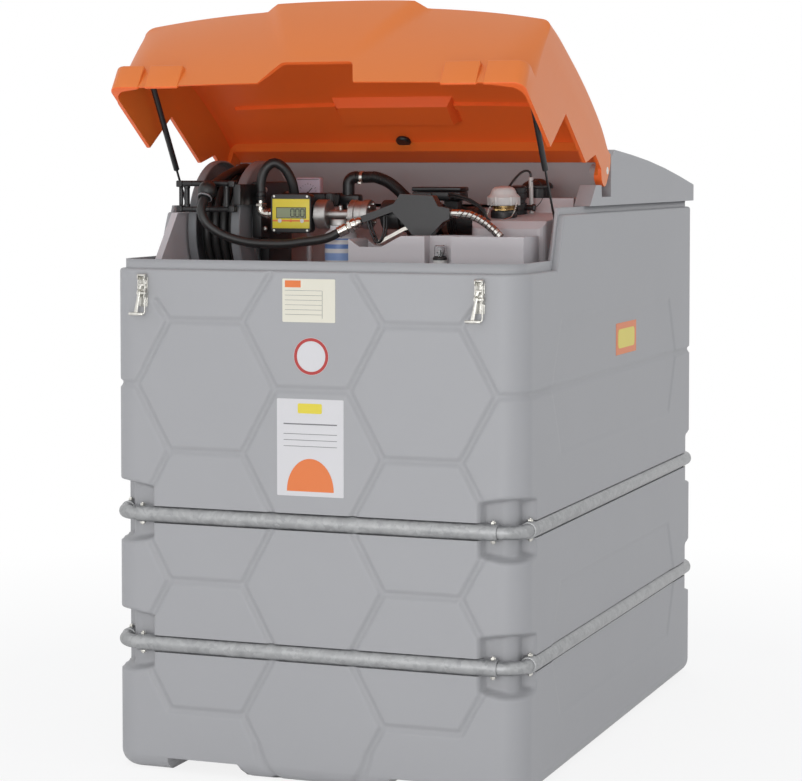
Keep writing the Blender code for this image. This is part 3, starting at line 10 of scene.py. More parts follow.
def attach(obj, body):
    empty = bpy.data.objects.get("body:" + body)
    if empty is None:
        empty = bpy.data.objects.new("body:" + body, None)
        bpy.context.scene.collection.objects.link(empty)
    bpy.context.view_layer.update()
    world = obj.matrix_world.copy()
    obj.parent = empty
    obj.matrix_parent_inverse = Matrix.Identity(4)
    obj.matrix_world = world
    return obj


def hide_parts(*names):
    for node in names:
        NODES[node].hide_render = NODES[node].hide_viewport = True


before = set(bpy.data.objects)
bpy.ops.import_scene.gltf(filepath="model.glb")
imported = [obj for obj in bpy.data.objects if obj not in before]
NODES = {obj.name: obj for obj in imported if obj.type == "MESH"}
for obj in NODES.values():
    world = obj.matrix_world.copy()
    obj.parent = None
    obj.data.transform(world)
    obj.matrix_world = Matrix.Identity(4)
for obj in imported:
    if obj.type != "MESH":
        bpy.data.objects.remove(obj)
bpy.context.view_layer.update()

# Main sizes, as in the model
HALF_W = 0.580
HALF_D = 0.900
CORNER_R = 0.072
FOOT_R = 0.045
FRONT_RIM_Z = 1.346
REAR_RIM_Z = 1.490
STEP_FRONT_Y = 0.284 - HALF_D
STEP_BACK_Y = 0.348 - HALF_D
LIP_INSET = 0.0165
SHOULDER_R = 0.008
FORK_INNER_X = 0.182
FORK_OUTER_X = 0.420
FORK_HEIGHT = 0.036
FORK_SLOPE = 0.034

# Honeycomb grooves, belts and corner pockets
GROOVE_DEPTH = 0.007
GROOVE_FLAT = 0.0035
GROOVE_REACH = 0.0115
HEX_COLUMNS = (0.074, 0.170, 0.382, 0.477)
HEX_TOP_ROW = 1.211
HEX_HEIGHT = 0.3474
RING_ROW = 0.5
BELT_ROWS = (1.5, 2.5)
TUBE_R = 0.022
TUBE_SINK = 0.012
CHANNEL_R = 0.0226
ELBOW_R = 0.0182
ELBOW_BEND_R = 0.060
POCKET_DEPTH = 0.036
SIDE_PANEL_ROWS = (0.5, 2.5)
SIDE_PANEL_REACH = 0.660
SIDE_PANEL_POINT = 0.085
SIDE_PANEL_STEP = 0.003

# Grid of the shell's skin
ROW_STEP = 0.0056
COLUMN_STEP = 0.0053
STRETCH_FROM = 1.300
PANEL_SPLIT = 0.100

# Rear cover, hinge and lid
HINGE_Y = 0.764 - HALF_D
HINGE_Z = 1.606
COVER_FRONT_Y = 0.590 - HALF_D
COVER_SLOPE_Z = 1.566
LID_OPEN = math.radians(34)
LID_FRONT_Y = -HALF_D - 0.005
LID_EDGE_Z = 1.354
LID_ARCH = 0.012
LID_FACE_SET = 0.003
LID_SIDE_R = 0.023
LID_WALL = 0.010
LID_GAP = 0.006
LID_BACK_Y = HINGE_Y - 0.044
LID_CROWN = ((0.100 - HALF_D, 1.682, 1.627), (0.185 - HALF_D, 1.694, 1.647),
    (0.300 - HALF_D, 1.700, 1.665), (0.407 - HALF_D, 1.7035, 1.679), (0.522 - HALF_D, 1.704, 1.688),
    (0.648 - HALF_D, 1.696, 1.688), (HINGE_Y - 0.029, 1.674, 1.674),)
LID_TAIL = ((-0.036, -0.053), (-0.014, -0.057), (0.008, -0.046), (0.017, -0.006), (0.016, 0.032),
    (0.000, 0.056),)
PAD_FOOT_SHARE = 0.27
PAD_HALF = (0.105, 0.230, 0.207, 0.161)
PAD_PROUD = (0.0, 0.0225, 0.0120, 0.0)
SEAT_RELIEF = 0.006
SEAT_RELIEF_TOP = 1.392
PAD_SHOULDER = 0.040
GRIP_LOW_X = (-0.156, 0.122)
GRIP_TOP_X = (-0.102, 0.097)
GRIP_TOP_Z = 1.441
BLOCK_HEIGHT = 0.072
BLOCK_WIDTH = 0.100
LATCH_SLOT = 0.018
LATCH_X = (0.098 - HALF_W, HALF_W - 0.117)
EAR_THICKNESS = 0.022
KNUCKLE_R = 0.018

# Camera, from the photograph's vanishing lines
CAMERA_PLACE = (2.42, -6.72, 1.62)
CAMERA_TURN = math.radians(20.46)
CAMERA_DIP = math.radians(2.65)
CAMERA_SHIFT = -0.140
LENS = 109.2

# Colours, linear
GREY_PE = (0.385, 0.385, 0.395)
# Tank grey: partly the inner tank's own paler plastic, partly painted light lifting it so the shaded pump bay
# reads brighter. The bay deck, nozzle tray and gauge stem share it.
TANK_GREY_AND_BAY_LIGHT = (0.600, 0.572, 0.586)
ORANGE_PE = (0.790, 0.200, 0.032)
BLACK = (0.013, 0.013, 0.014)


def linear(r, g, b):
    """A colour given in screen values from 0 to 255."""
    return tuple(((v / 255 + 0.055) / 1.055) ** 2.4 if v > 10 else v / 255 / 12.92 for v in (r, g, b))


def make_camera():
    data = bpy.data.cameras.new("photo_camera")
    camera = bpy.data.objects.new("photo_camera", data)
    bpy.context.collection.objects.link(camera)
    camera.location = CAMERA_PLACE
    camera.rotation_euler = (math.pi / 2 - CAMERA_DIP, 0, CAMERA_TURN)
    data.lens = LENS
    data.sensor_width = 36
    data.sensor_fit = "HORIZONTAL"
    data.shift_y = CAMERA_SHIFT
    data.clip_end = 200
    bpy.context.scene.camera = camera
    return camera


def lamp(name, place, target, size, power, colour=(1, 1, 1)):
    data = bpy.data.lights.new(name, "AREA")
    data.shape = "RECTANGLE"
    data.size, data.size_y = size
    data.energy = power
    data.color = colour
    obj = bpy.data.objects.new(name, data)
    bpy.context.collection.objects.link(obj)
    obj.location = place
    obj.rotation_euler = (Vector(target) - Vector(place)).to_track_quat("-Z", "Y").to_euler()
    return obj


def white_where_seen(tree, lit, seen, seen_share=1.0):
    """Shows the plain white shader to the camera and to mirrors and glass, the lit one to all else."""
    rays = tree.nodes.new("ShaderNodeLightPath")
    direct = maths(tree, "MAXIMUM", rays.outputs["Is Camera Ray"], rays.outputs["Is Glossy Ray"])
    direct = maths(tree, "MAXIMUM", direct, rays.outputs["Is Transmission Ray"])
    both = tree.nodes.new("ShaderNodeMixShader")
    tree.links.new(maths(tree, "MULTIPLY", direct, seen_share), both.inputs[0])
    tree.links.new(lit.outputs[0], both.inputs[1])
    tree.links.new(seen.outputs[0], both.inputs[2])
    return both


def make_studio():
    world = bpy.data.worlds.new("studio")
    bpy.context.scene.world = world
    world.use_nodes = True
    tree = world.node_tree
    tree.nodes.clear()
    out = tree.nodes.new("ShaderNodeOutputWorld")
    seen = tree.nodes.new("ShaderNodeBackground")
    seen.inputs["Color"].default_value = (1, 1, 1, 1)
    fill = tree.nodes.new("ShaderNodeBackground")
    fill.inputs["Color"].default_value = (0.94, 0.96, 1.0, 1)
    fill.inputs["Strength"].default_value = 0.66
    both = white_where_seen(tree, fill, seen)
    tree.links.new(both.outputs[0], out.inputs["Surface"])
    lamp("key_softbox", (-3.4, -5.4, 5.0), (0, -0.3, 1.0), (4.0, 3.0), 20)
    lamp("front_fill", (0.8, -8.0, 2.1), (0, -0.4, 1.4), (5.0, 2.2), 92)
    lamp("floor_bounce", (0.2, -4.6, 0.15), (0, -0.3, 2.0), (3.6, 1.2), 36)
    lamp("right_softbox", (6.0, -1.5, 3.2), (0.4, 0.0, 0.9), (3.0, 4.0), 15)
    lamp("back_softbox", (-1.0, 5.5, 4.5), (0, 0.4, 1.4), (4.0, 2.5), 38)

    bm = bmesh.new()
    bmesh.ops.create_grid(bm, x_segments=1, y_segments=1, size=30)
    mesh = bpy.data.meshes.new("studio_floor")
    bm.to_mesh(mesh)
    bm.free()
    floor = bpy.data.objects.new("studio_floor", mesh)
    bpy.context.collection.objects.link(floor)
    mat = bpy.data.materials.new("floor_white")
    mat.use_nodes = True
    tree = mat.node_tree
    tree.nodes.clear()
    out = tree.nodes.new("ShaderNodeOutputMaterial")
    paper = tree.nodes.new("ShaderNodeBsdfDiffuse")
    paper.inputs["Color"].default_value = (0.9, 0.9, 0.9, 1)
    glow = tree.nodes.new("ShaderNodeEmission")
    glow.inputs["Strength"].default_value = 1.0
    place = tree.nodes.new("ShaderNodeTexCoord")
    reach = tree.nodes.new("ShaderNodeVectorMath")
    reach.operation = "LENGTH"
    tree.links.new(place.outputs["Object"], reach.inputs[0])
    share = ramp(tree, reach.outputs["Value"], 1.5, 3.4, 0.84, 1.0)
    both = white_where_seen(tree, paper, glow, share)
    tree.links.new(both.outputs[0], out.inputs["Surface"])
    mesh.materials.append(mat)
def new_group(name, inputs, outputs):
    """A shader node group; inputs and outputs are (name, socket kind, default)."""
    group = bpy.data.node_groups.new(name, "ShaderNodeTree")
    for label, kind, value in inputs:
        socket = group.interface.new_socket(name=label, in_out="INPUT", socket_type=kind)
        if value is not None:
            socket.default_value = value
    for label, kind, _ in outputs:
        group.interface.new_socket(name=label, in_out="OUTPUT", socket_type=kind)
    return group, group.nodes.new("NodeGroupInput"), group.nodes.new("NodeGroupOutput")


def noise(tree, where, scale, detail=4.0, roughness=0.55):
    node = tree.nodes.new("ShaderNodeTexNoise")
    node.inputs["Detail"].default_value = detail
    node.inputs["Roughness"].default_value = roughness
    if isinstance(scale, (int, float)):
        node.inputs["Scale"].default_value = scale
    else:
        tree.links.new(scale, node.inputs["Scale"])
    tree.links.new(where, node.inputs["Vector"])
    return node.outputs["Fac"]


def ramp(tree, value, low, high, start=0.0, end=1.0):
    node = tree.nodes.new("ShaderNodeMapRange")
    node.inputs["From Min"].default_value = low
    node.inputs["From Max"].default_value = high
    node.inputs["To Min"].default_value = start
    node.inputs["To Max"].default_value = end
    tree.links.new(value, node.inputs["Value"])
    return node.outputs["Result"]


def maths(tree, kind, a, b=None):
    node = tree.nodes.new("ShaderNodeMath")
    node.operation = kind
    for i, value in enumerate((a, b)):
        if value is None:
            continue
        if isinstance(value, (int, float)):
            node.inputs[i].default_value = value
        else:
            tree.links.new(value, node.inputs[i])
    return node.outputs[0]


def mix(tree, share, a, b, blend="MIX"):
    node = tree.nodes.new("ShaderNodeMix")
    node.data_type = "RGBA"
    node.blend_type = blend
    for socket, value in ((node.inputs["Factor"], share), (node.inputs[6], a), (node.inputs[7], b)):
        if isinstance(value, bpy.types.NodeSocket):
            tree.links.new(value, socket)
        elif isinstance(value, (int, float)):
            socket.default_value = value
        else:
            socket.default_value = (*value[:3], 1)
    return node.outputs[2]


def bump(tree, height, depth, strength=1.0, normal=None):
    node = tree.nodes.new("ShaderNodeBump")
    node.inputs["Distance"].default_value = depth
    node.inputs["Strength"].default_value = strength
    tree.links.new(height, node.inputs["Height"])
    if normal is not None:
        tree.links.new(normal, node.inputs["Normal"])
    return node.outputs["Normal"]


def grain_group():
    """Fine orange-peel grain with broad waviness, as moulded and painted skins have."""
    group, start, end = new_group("skin_grain", [("Vector", "NodeSocketVector", None),
        ("Scale", "NodeSocketFloat", 900.0), ("Depth", "NodeSocketFloat", 0.0003)],
        [("Normal", "NodeSocketVector", None), ("Mask", "NodeSocketFloat", None)],)
    where = start.outputs["Vector"]
    fine = noise(group, where, start.outputs["Scale"], 2.0)
    broad = noise(group, where, 7.0, 2.0)
    height = maths(group, "ADD", maths(group, "MULTIPLY", fine, 0.6), maths(group, "MULTIPLY", broad,
        3.0))
    node = group.nodes.new("ShaderNodeBump")
    node.inputs["Strength"].default_value = 0.6
    group.links.new(start.outputs["Depth"], node.inputs["Distance"])
    group.links.new(height, node.inputs["Height"])
    group.links.new(node.outputs["Normal"], end.inputs["Normal"])
    group.links.new(fine, end.inputs["Mask"])
    return group


def scuff_group():
    """Handling marks: pale scuffs in streaks and a light dust that lies on what faces up."""
    group, start, end = new_group("scuffs_and_dust", [("Vector", "NodeSocketVector", None),
        ("Colour", "NodeSocketColor", None), ("Scuffs", "NodeSocketFloat", 0.2),
        ("Dust", "NodeSocketFloat", 0.1), ("Shade", "NodeSocketFloat", 0.06)],
        [("Colour", "NodeSocketColor", None), ("Mask", "NodeSocketFloat", None)],)
    where = start.outputs["Vector"]
    cloud = noise(group, where, 3.2, 5.0)
    patch = noise(group, where, 22.0, 6.0, 0.7)
    streak_map = group.nodes.new("ShaderNodeMapping")
    streak_map.inputs["Scale"].default_value = (14, 14, 90)
    group.links.new(where, streak_map.inputs["Vector"])
    streak = noise(group, streak_map.outputs[0], 3.0, 3.0, 0.6)
    tone = maths(group, "MULTIPLY", maths(group, "SUBTRACT", cloud, 0.5), start.outputs["Shade"])
    tone = maths(group, "ADD", tone, 1.0)
    toned = group.nodes.new("ShaderNodeVectorMath")
    toned.operation = "SCALE"
    group.links.new(start.outputs["Colour"], toned.inputs[0])
    group.links.new(tone, toned.inputs["Scale"])
    marks = maths(group, "MULTIPLY", ramp(group, streak, 0.62, 0.80), ramp(group, patch, 0.50, 0.70))
    marks = maths(group, "MULTIPLY", marks, start.outputs["Scuffs"])
    pale = mix(group, marks, toned.outputs[0], (0.55, 0.54, 0.53))
    geometry = group.nodes.new("ShaderNodeNewGeometry")
    split = group.nodes.new("ShaderNodeSeparateXYZ")
    group.links.new(geometry.outputs["Normal"], split.inputs[0])
    up = ramp(group, split.outputs["Z"], 0.3, 1.0)
    dusty = maths(group, "MULTIPLY", maths(group, "MULTIPLY", up, ramp(group, patch, 0.35, 0.75)),
        start.outputs["Dust"])
    dusted = mix(group, dusty, pale, (0.42, 0.40, 0.37))
    group.links.new(dusted, end.inputs["Colour"])
    group.links.new(maths(group, "ADD", marks, dusty), end.inputs["Mask"])
    return group


GROUPS = {}


def use_group(tree, name, **values):
    node = tree.nodes.new("ShaderNodeGroup")
    node.node_tree = GROUPS[name]
    for label, value in values.items():
        if isinstance(value, bpy.types.NodeSocket):
            tree.links.new(value, node.inputs[label])
        elif isinstance(value, tuple):
            node.inputs[label].default_value = (*value[:3],
                1) if len(value) == 3 and label == "Colour" else value
        else:
            node.inputs[label].default_value = value
    return node


def start_material(name, roughness, metallic=0.0):
    mat = bpy.data.materials.new(name)
    mat.use_nodes = True
    tree = mat.node_tree
    shader = tree.nodes["Principled BSDF"]
    shader.inputs["Roughness"].default_value = roughness
    shader.inputs["Metallic"].default_value = metallic
    place = tree.nodes.new("ShaderNodeTexCoord")
    return mat, tree, shader, place.outputs["Object"]


def moulded(name, colour, roughness=0.5, grain=900.0, depth=0.0003, scuffs=0.2, dust=0.1, shade=0.06,
        spread=0.12):
    """Moulded or painted skin: even colour, fine grain, a few scuffs."""
    mat, tree, shader, where = start_material(name, roughness)
    worn = use_group(tree, "scuffs_and_dust", Vector=where, Colour=colour, Scuffs=scuffs, Dust=dust,
        Shade=shade)
    skin = use_group(tree, "skin_grain", Vector=where, Scale=grain, Depth=depth)
    tree.links.new(worn.outputs["Colour"], shader.inputs["Base Color"])
    tree.links.new(skin.outputs["Normal"], shader.inputs["Normal"])
    rough = maths(tree, "ADD", maths(tree, "MULTIPLY", skin.outputs["Mask"], spread),
        roughness - spread / 2)
    tree.links.new(maths(tree, "ADD", rough, maths(tree, "MULTIPLY", worn.outputs["Mask"], 0.25)),
        shader.inputs["Roughness"])
    return mat


def plated(name, colour, roughness=0.25, mottle=0.12, scale=60.0, depth=0.0001, dirt=0.25):
    """Bare or plated metal with an uneven sheen and a little dirt in it."""
    mat, tree, shader, where = start_material(name, roughness, 1.0)
    cloud = noise(tree, where, scale, 5.0, 0.65)
    fine = noise(tree, where, scale * 12, 3.0)
    dirty = maths(tree, "MULTIPLY", ramp(tree, noise(tree, where, scale * 0.6, 6.0, 0.7), 0.52, 0.74),
        dirt)
    light = tuple(min(1.0, v * (1 + mottle)) for v in colour)
    dark = tuple(v * (1 - mottle) for v in colour)
    body = mix(tree, ramp(tree, cloud, 0.35, 0.65), dark, light)
    tree.links.new(mix(tree, dirty, body, (0.05, 0.045, 0.04)), shader.inputs["Base Color"])
    rough = maths(tree, "ADD", maths(tree, "MULTIPLY", cloud, 0.22), roughness - 0.11)
    tree.links.new(maths(tree, "ADD", rough, maths(tree, "MULTIPLY", dirty, 0.5)),
        shader.inputs["Roughness"])
    tree.links.new(bump(tree, fine, depth), shader.inputs["Normal"])
    return mat


def galvanised():
    """Hot-dipped zinc: spangle patches in greys, dull, with white bloom."""
    mat, tree, shader, where = start_material("galvanised_zinc", 0.5, 0.85)
    cells = tree.nodes.new("ShaderNodeTexVoronoi")
    cells.inputs["Scale"].default_value = 95
    warp = mix(tree, 0.03, where, noise_colour(tree, where, 30.0))
    tree.links.new(warp, cells.inputs["Vector"])
    patch = tree.nodes.new("ShaderNodeSeparateColor")
    tree.links.new(cells.outputs["Color"], patch.inputs[0])
    cloud = noise(tree, where, 26.0, 5.0, 0.6)
    tone = maths(tree, "ADD", maths(tree, "MULTIPLY", patch.outputs[0], 0.45),
        maths(tree, "MULTIPLY", cloud, 0.75))
    body = mix(tree, ramp(tree, tone, 0.3, 0.9), (0.30, 0.305, 0.31), (0.43, 0.435, 0.44))
    bloom = ramp(tree, noise(tree, where, 14.0, 7.0, 0.7), 0.52, 0.70)
    tree.links.new(mix(tree, maths(tree, "MULTIPLY", bloom, 0.30), body, (0.50, 0.50, 0.49)),
        shader.inputs["Base Color"])
    tree.links.new(ramp(tree, tone, 0.2, 1.0, 0.42, 0.58), shader.inputs["Roughness"])
    tree.links.new(ramp(tree, bloom, 0.0, 1.0, 0.85, 0.45), shader.inputs["Metallic"])
    tree.links.new(bump(tree, noise(tree, where, 220.0, 4.0), 0.0004), shader.inputs["Normal"])
    return mat


def noise_colour(tree, where, scale):
    node = tree.nodes.new("ShaderNodeTexNoise")
    node.inputs["Scale"].default_value = scale
    tree.links.new(where, node.inputs["Vector"])
    return node.outputs["Color"]


M = {}


def make_materials():
    GROUPS["skin_grain"] = grain_group()
    GROUPS["scuffs_and_dust"] = scuff_group()
    M["shell"] = moulded("shell_grey", GREY_PE, 0.50, 850, 0.0004, 0.10, 0.03, 0.05)
    # Tank grey, partly painted light for the shaded bay.
    M["tank"] = moulded("tank_grey_and_bay_light", TANK_GREY_AND_BAY_LIGHT, 0.46, 850, 0.0004, 0.08, 0.05, 0.06)
    M["cover"] = moulded("cover_grey", GREY_PE, 0.48, 850, 0.0004, 0.10, 0.03, 0.05)
    M["lid"] = moulded("lid_orange", ORANGE_PE, 0.40, 850, 0.0004, 0.02, 0.0, 0.06)
    M["galvanised"] = galvanised()
    M["zinc"] = plated("zinc_plate", (0.62, 0.61, 0.57), 0.34, 0.14, 55, 0.0001, 0.35)
    M["nickel"] = plated("nickel_plate", (0.66, 0.63, 0.58), 0.20, 0.08, 40, 0.00004, 0.25)
    M["brass"] = plated("brass", (0.70, 0.50, 0.22), 0.28, 0.10, 60, 0.00005, 0.3)
    M["black_steel"] = moulded("black_powder_coat", (0.014, 0.014, 0.015), 0.38, 1600, 0.0002, 0.05,
        0.05, 0.3)
    M["black_iron"] = moulded("black_casting", (0.016, 0.016, 0.017), 0.42, 700, 0.0008, 0.05, 0.05, 0.3)
    M["black_plastic"] = moulded("black_plastic", BLACK, 0.36, 1400, 0.00015, 0.05, 0.05, 0.3)
    M["rubber"] = moulded("black_rubber", (0.014, 0.014, 0.014), 0.42, 1300, 0.0002, 0.05, 0.05, 0.3)
    M["pale"] = moulded("pale_plastic", (0.66, 0.66, 0.64), 0.32, 1200, 0.0001, 0.05, 0.05, 0.05)
    M["white_can"] = moulded("white_can", (0.78, 0.79, 0.80), 0.30, 900, 0.00008, 0.05, 0.03, 0.04)
    M["reel_grey"] = moulded("reel_grey", (0.24, 0.25, 0.26), 0.36, 900, 0.0002, 0.1, 0.05, 0.1)
    # Lid underside orange: a brighter, redder copy of the lid orange, painted light standing in for the light
    # the open lid's underside catches.
    M["lid_underside_painted_light"] = moulded("lid_underside_orange_painted_light", (0.92, 0.150, 0.022), 0.42, 700, 0.0002, 0.06, 0.03, 0.05)
    M["nozzle_black"] = moulded("nozzle_black", (0.035, 0.035, 0.036), 0.30, 500, 0.0003, 0.10, 0.04,
        0.10)
    M["cast_alloy"] = plated("cast_alloy", (0.42, 0.41, 0.40), 0.42, 0.10, 70, 0.0002, 0.25)
    M["lavender"] = moulded("gauge_case", linear(208, 200, 216), 0.34, 1200, 0.0001, 0.03, 0.03, 0.05)
    M["yellow_face"] = moulded("yellow_face", linear(226, 208, 62), 0.36, 1500, 0.00005, 0.02, 0.0, 0.04)
    M["orange_print"] = moulded("orange_print", linear(228, 122, 60), 0.40, 1500, 0.00005, 0.02, 0.0,
        0.04)
    M["red_print"] = moulded("red_print", linear(178, 52, 48), 0.40, 1500, 0.00005, 0.02, 0.0, 0.04)
    M["white_print"] = moulded("white_print", (0.68, 0.67, 0.68), 0.40, 1500, 0.00005, 0.02, 0.0, 0.03)
    M["cream_print"] = moulded("cream_print", linear(226, 222, 206), 0.40, 1500, 0.00005, 0.02, 0.0, 0.03)
    M["grey_print"] = moulded("grey_print", linear(120, 120, 122), 0.45, 1500, 0.00005, 0.02, 0.0, 0.03)
    M["dark_print"] = moulded("dark_print", linear(36, 38, 34), 0.45, 1500, 0.00005, 0.02, 0.0, 0.03)
    M["lcd"] = moulded("lcd_glass", linear(140, 150, 118), 0.20, 1500, 0.00002, 0.0, 0.0, 0.03)
    M["can_bands"] = banded_can()
    M["clear"] = clear_plastic()
    M["guarded_spout"] = guarded_spout()


def banded_can():
    """White painted can with plain blue bands."""
    mat, tree, shader, where = start_material("banded_can", 0.3)
    split = tree.nodes.new("ShaderNodeSeparateXYZ")
    tree.links.new(where, split.inputs[0])
    colour = (0.78, 0.79, 0.80)
    for low, high, shade in ((1.3940, 1.4060, (0.16, 0.30, 0.66)), (1.3620, 1.3820, (0.30, 0.45, 0.78)),
            (1.4180, 1.4220, (0.16, 0.30, 0.66))):
        above = ramp(tree, split.outputs["Z"], low - 0.0004, low + 0.0004)
        below = ramp(tree, split.outputs["Z"], high - 0.0004, high + 0.0004, 1.0, 0.0)
        colour = mix(tree, maths(tree, "MULTIPLY", above, below), colour, shade)
    worn = use_group(tree, "scuffs_and_dust", Vector=where, Colour=colour, Scuffs=0.05, Dust=0.03,
        Shade=0.04)
    skin = use_group(tree, "skin_grain", Vector=where, Scale=900.0, Depth=0.00008)
    tree.links.new(worn.outputs["Colour"], shader.inputs["Base Color"])
    tree.links.new(skin.outputs["Normal"], shader.inputs["Normal"])
    tree.links.new(ramp(tree, skin.outputs["Mask"], 0.3, 0.7, 0.26, 0.36), shader.inputs["Roughness"])
    return mat


def clear_plastic():
    """Clear moulded dome with faint handling haze."""
    mat, tree, shader, where = start_material("clear_dome", 0.06)
    shader.inputs["Base Color"].default_value = (0.95, 0.96, 0.97, 1)
    shader.inputs["Transmission Weight"].default_value = 1.0
    shader.inputs["IOR"].default_value = 1.45
    tree.links.new(ramp(tree, noise(tree, where, 60.0, 4.0), 0.4, 0.7, 0.04, 0.14),
        shader.inputs["Roughness"])
    return mat


def guarded_spout():
    """Plated spout with the spring guard's coils raised along its bent end."""
    mat, tree, shader, where = start_material("guarded_spout", 0.26, 1.0)
    split = tree.nodes.new("ShaderNodeSeparateXYZ")
    tree.links.new(where, split.inputs[0])
    along = maths(tree, "SUBTRACT", split.outputs["X"], maths(tree, "MULTIPLY", split.outputs["Z"], 0.85))
    wave = maths(tree, "SINE", maths(tree, "MULTIPLY", along, 400.0))
    coils = ramp(tree, wave, 0.70, 1.0)
    guarded = ramp(tree, split.outputs["X"], 0.300, 0.303)
    height = maths(tree, "MULTIPLY", coils, guarded)
    tree.links.new(bump(tree, height, 0.0016), shader.inputs["Normal"])
    # The coils are coloured dark on the plated spout.
    coil_darkening = mix(tree, maths(tree, "MULTIPLY", coils, guarded), (0.62, 0.61, 0.58), (0.14, 0.13, 0.12))
    tree.links.new(coil_darkening, shader.inputs["Base Color"])
    tree.links.new(ramp(tree, noise(tree, where, 60.0, 4.0), 0.3, 0.8, 0.18, 0.34),
        shader.inputs["Roughness"])
    return mat


def piece(name, shape, look, body="shell", sharp=38):
    """Makes a named, smooth shaded piece of a bmesh and lets it ride on a body."""
    mesh = bpy.data.meshes.new(name)
    shape.to_mesh(mesh)
    shape.free()
    mesh.shade_smooth()
    mesh.set_sharp_from_angle(angle=math.radians(sharp))
    mesh.materials.append(M[look])
    thing = bpy.data.objects.new(name, mesh)
    bpy.context.collection.objects.link(thing)
    if body:
        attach(thing, body)
    return thing


def merged(*shapes):
    """One bmesh of several."""
    whole = bmesh.new()
    for shape in shapes:
        part = bpy.data.meshes.new("part")
        shape.to_mesh(part)
        shape.free()
        whole.from_mesh(part)
        bpy.data.meshes.remove(part)
    return whole


def prism(outline, axis, low, high, edge=0.0, segments=2):
    """Extrudes an outline: (y, z) along X, (x, z) along Y or (x, y) along Z, with its edges rounded."""
    spots = {"X": lambda a, b: (low, a, b), "Y": lambda a, b: (a, low, b), "Z": lambda a, b: (a, b, low),
        }[axis]
    step = {"X": (high - low, 0, 0), "Y": (0, high - low, 0), "Z": (0, 0, high - low)}[axis]
    shape = bmesh.new()
    face = shape.faces.new([shape.verts.new(spots(a, b)) for a, b in outline])
    grown = bmesh.ops.extrude_face_region(shape, geom=[face])
    moved = [item for item in grown["geom"] if isinstance(item, bmesh.types.BMVert)]
    bmesh.ops.translate(shape, verts=moved, vec=step)
    bmesh.ops.recalc_face_normals(shape, faces=shape.faces)
    if edge:
        sharp = [e for e in shape.edges if e.calc_face_angle(0) > math.radians(28)]
        bmesh.ops.bevel(shape, geom=sharp, offset=edge, offset_type="OFFSET", segments=segments,
            profile=0.5, affect="EDGES", clamp_overlap=True, material=-1)
    return shape


def block(low, high, edge=0.0, segments=2):
    outline = ((low[0], low[1]), (high[0], low[1]), (high[0], high[1]), (low[0], high[1]))
    return prism(outline, "Z", low[2], high[2], edge, segments)


def aim(start, direction):
    turn = Vector((0, 0, 1)).rotation_difference(Vector(direction))
    return Matrix.Translation(start) @ turn.to_matrix().to_4x4()


def turned(profile, start, direction, sides=32, ring=False):
    """Spins (radius, height) points round the axis that leaves start."""
    shape = bmesh.new()
    spots = [shape.verts.new((radius, 0, height)) for radius, height in profile]
    rails = [shape.edges.new(pair) for pair in zip(spots, spots[1:])]
    if ring:
        rails.append(shape.edges.new((spots[-1], spots[0])))
    bmesh.ops.spin(shape, geom=spots + rails, axis=(0, 0, 1), cent=(0, 0, 0), angle=math.tau,
        steps=sides, use_merge=True)
    bmesh.ops.remove_doubles(shape, verts=shape.verts, dist=1e-6)
    bmesh.ops.recalc_face_normals(shape, faces=shape.faces)
    bmesh.ops.transform(shape, matrix=aim(start, direction), verts=shape.verts)
    return shape


def lathe(parts, start, direction, sides=32):
    """A closed turned shape given by its outer (radius, height) points."""
    return turned([(0, parts[0][1])] + list(parts) + [(0, parts[-1][1])], start, direction, sides)


def rod(start, end, radius, sides=24, edge=0.0):
    """A round bar, with its two end edges broken where edge is given."""
    span = Vector(end) - Vector(start)
    long = span.length
    if edge:
        profile = ((0, 0), (radius - edge, 0), (radius - edge * 0.3, edge * 0.3), (radius, edge),
            (radius, long - edge), (radius - edge * 0.3, long - edge * 0.3), (radius - edge, long),
            (0, long))
    else:
        profile = ((0, 0), (radius, 0), (radius, long), (0, long))
    return turned(profile, start, span, sides)


def pipe(start, end, outer, inner, sides=32):
    span = Vector(end) - Vector(start)
    profile = ((inner, 0), (outer - 0.0006, 0), (outer, 0.0006), (outer, span.length - 0.0006),
        (outer - 0.0006, span.length), (inner, span.length))
    return turned(profile, start, span, sides, ring=True)


def around(count, radius, turn=0.0):
    """Offsets of places spread evenly round a circle."""
    turns = [k * math.tau / count + turn for k in range(count)]
    return [(radius * math.cos(t), radius * math.sin(t)) for t in turns]


def rounded(low, high, radius, steps=4):
    """Outline of a rectangle with rounded corners."""
    (x0, z0), (x1, z1) = low, high
    middles = ((x1 - radius, z1 - radius), (x0 + radius, z1 - radius), (x0 + radius, z0 + radius),
        (x1 - radius, z0 + radius))
    outline = []
    for k, middle in enumerate(middles):
        outline += arc(middle, radius, 90 * k, 90 * k + 90, steps)
    return outline


def offset(origin, steps):
    """Places given as steps from an origin."""
    return [tuple(a + b for a, b in zip(origin, step)) for step in steps]


def dressed(name, look):
    """A CAD node with one material in place of its own."""
    obj = NODES[name]
    obj.data.materials.clear()
    obj.data.materials.append(M[look])
    return obj


def soften(obj, width, degrees):
    """Rounds the sharp edges of an object with a bevel."""
    soft = obj.modifiers.new("soft_edges", "BEVEL")
    soft.width = width
    soft.segments = 3
    soft.limit_method = "ANGLE"
    soft.angle_limit = math.radians(degrees)
    soft.harden_normals = True


def nut(centre, direction, across, height, bolt=0.0):
    """A hexagon nut with broken corners, and the bolt end that stands out of it."""
    outer = across / 2 / math.cos(math.pi / 6)
    shape = turned(((0, 0), (outer * 0.93, 0), (outer, height * 0.14), (outer, height * 0.86),
        (outer * 0.93, height), (0, height)), centre, direction, 6)
    if bolt:
        way = Vector(direction).normalized()
        tip = Vector(centre) + way * height
        return merged(shape, rod(tip - way * 0.001, tip + way * bolt, across * 0.29, 12, across * 0.06))
    return shape


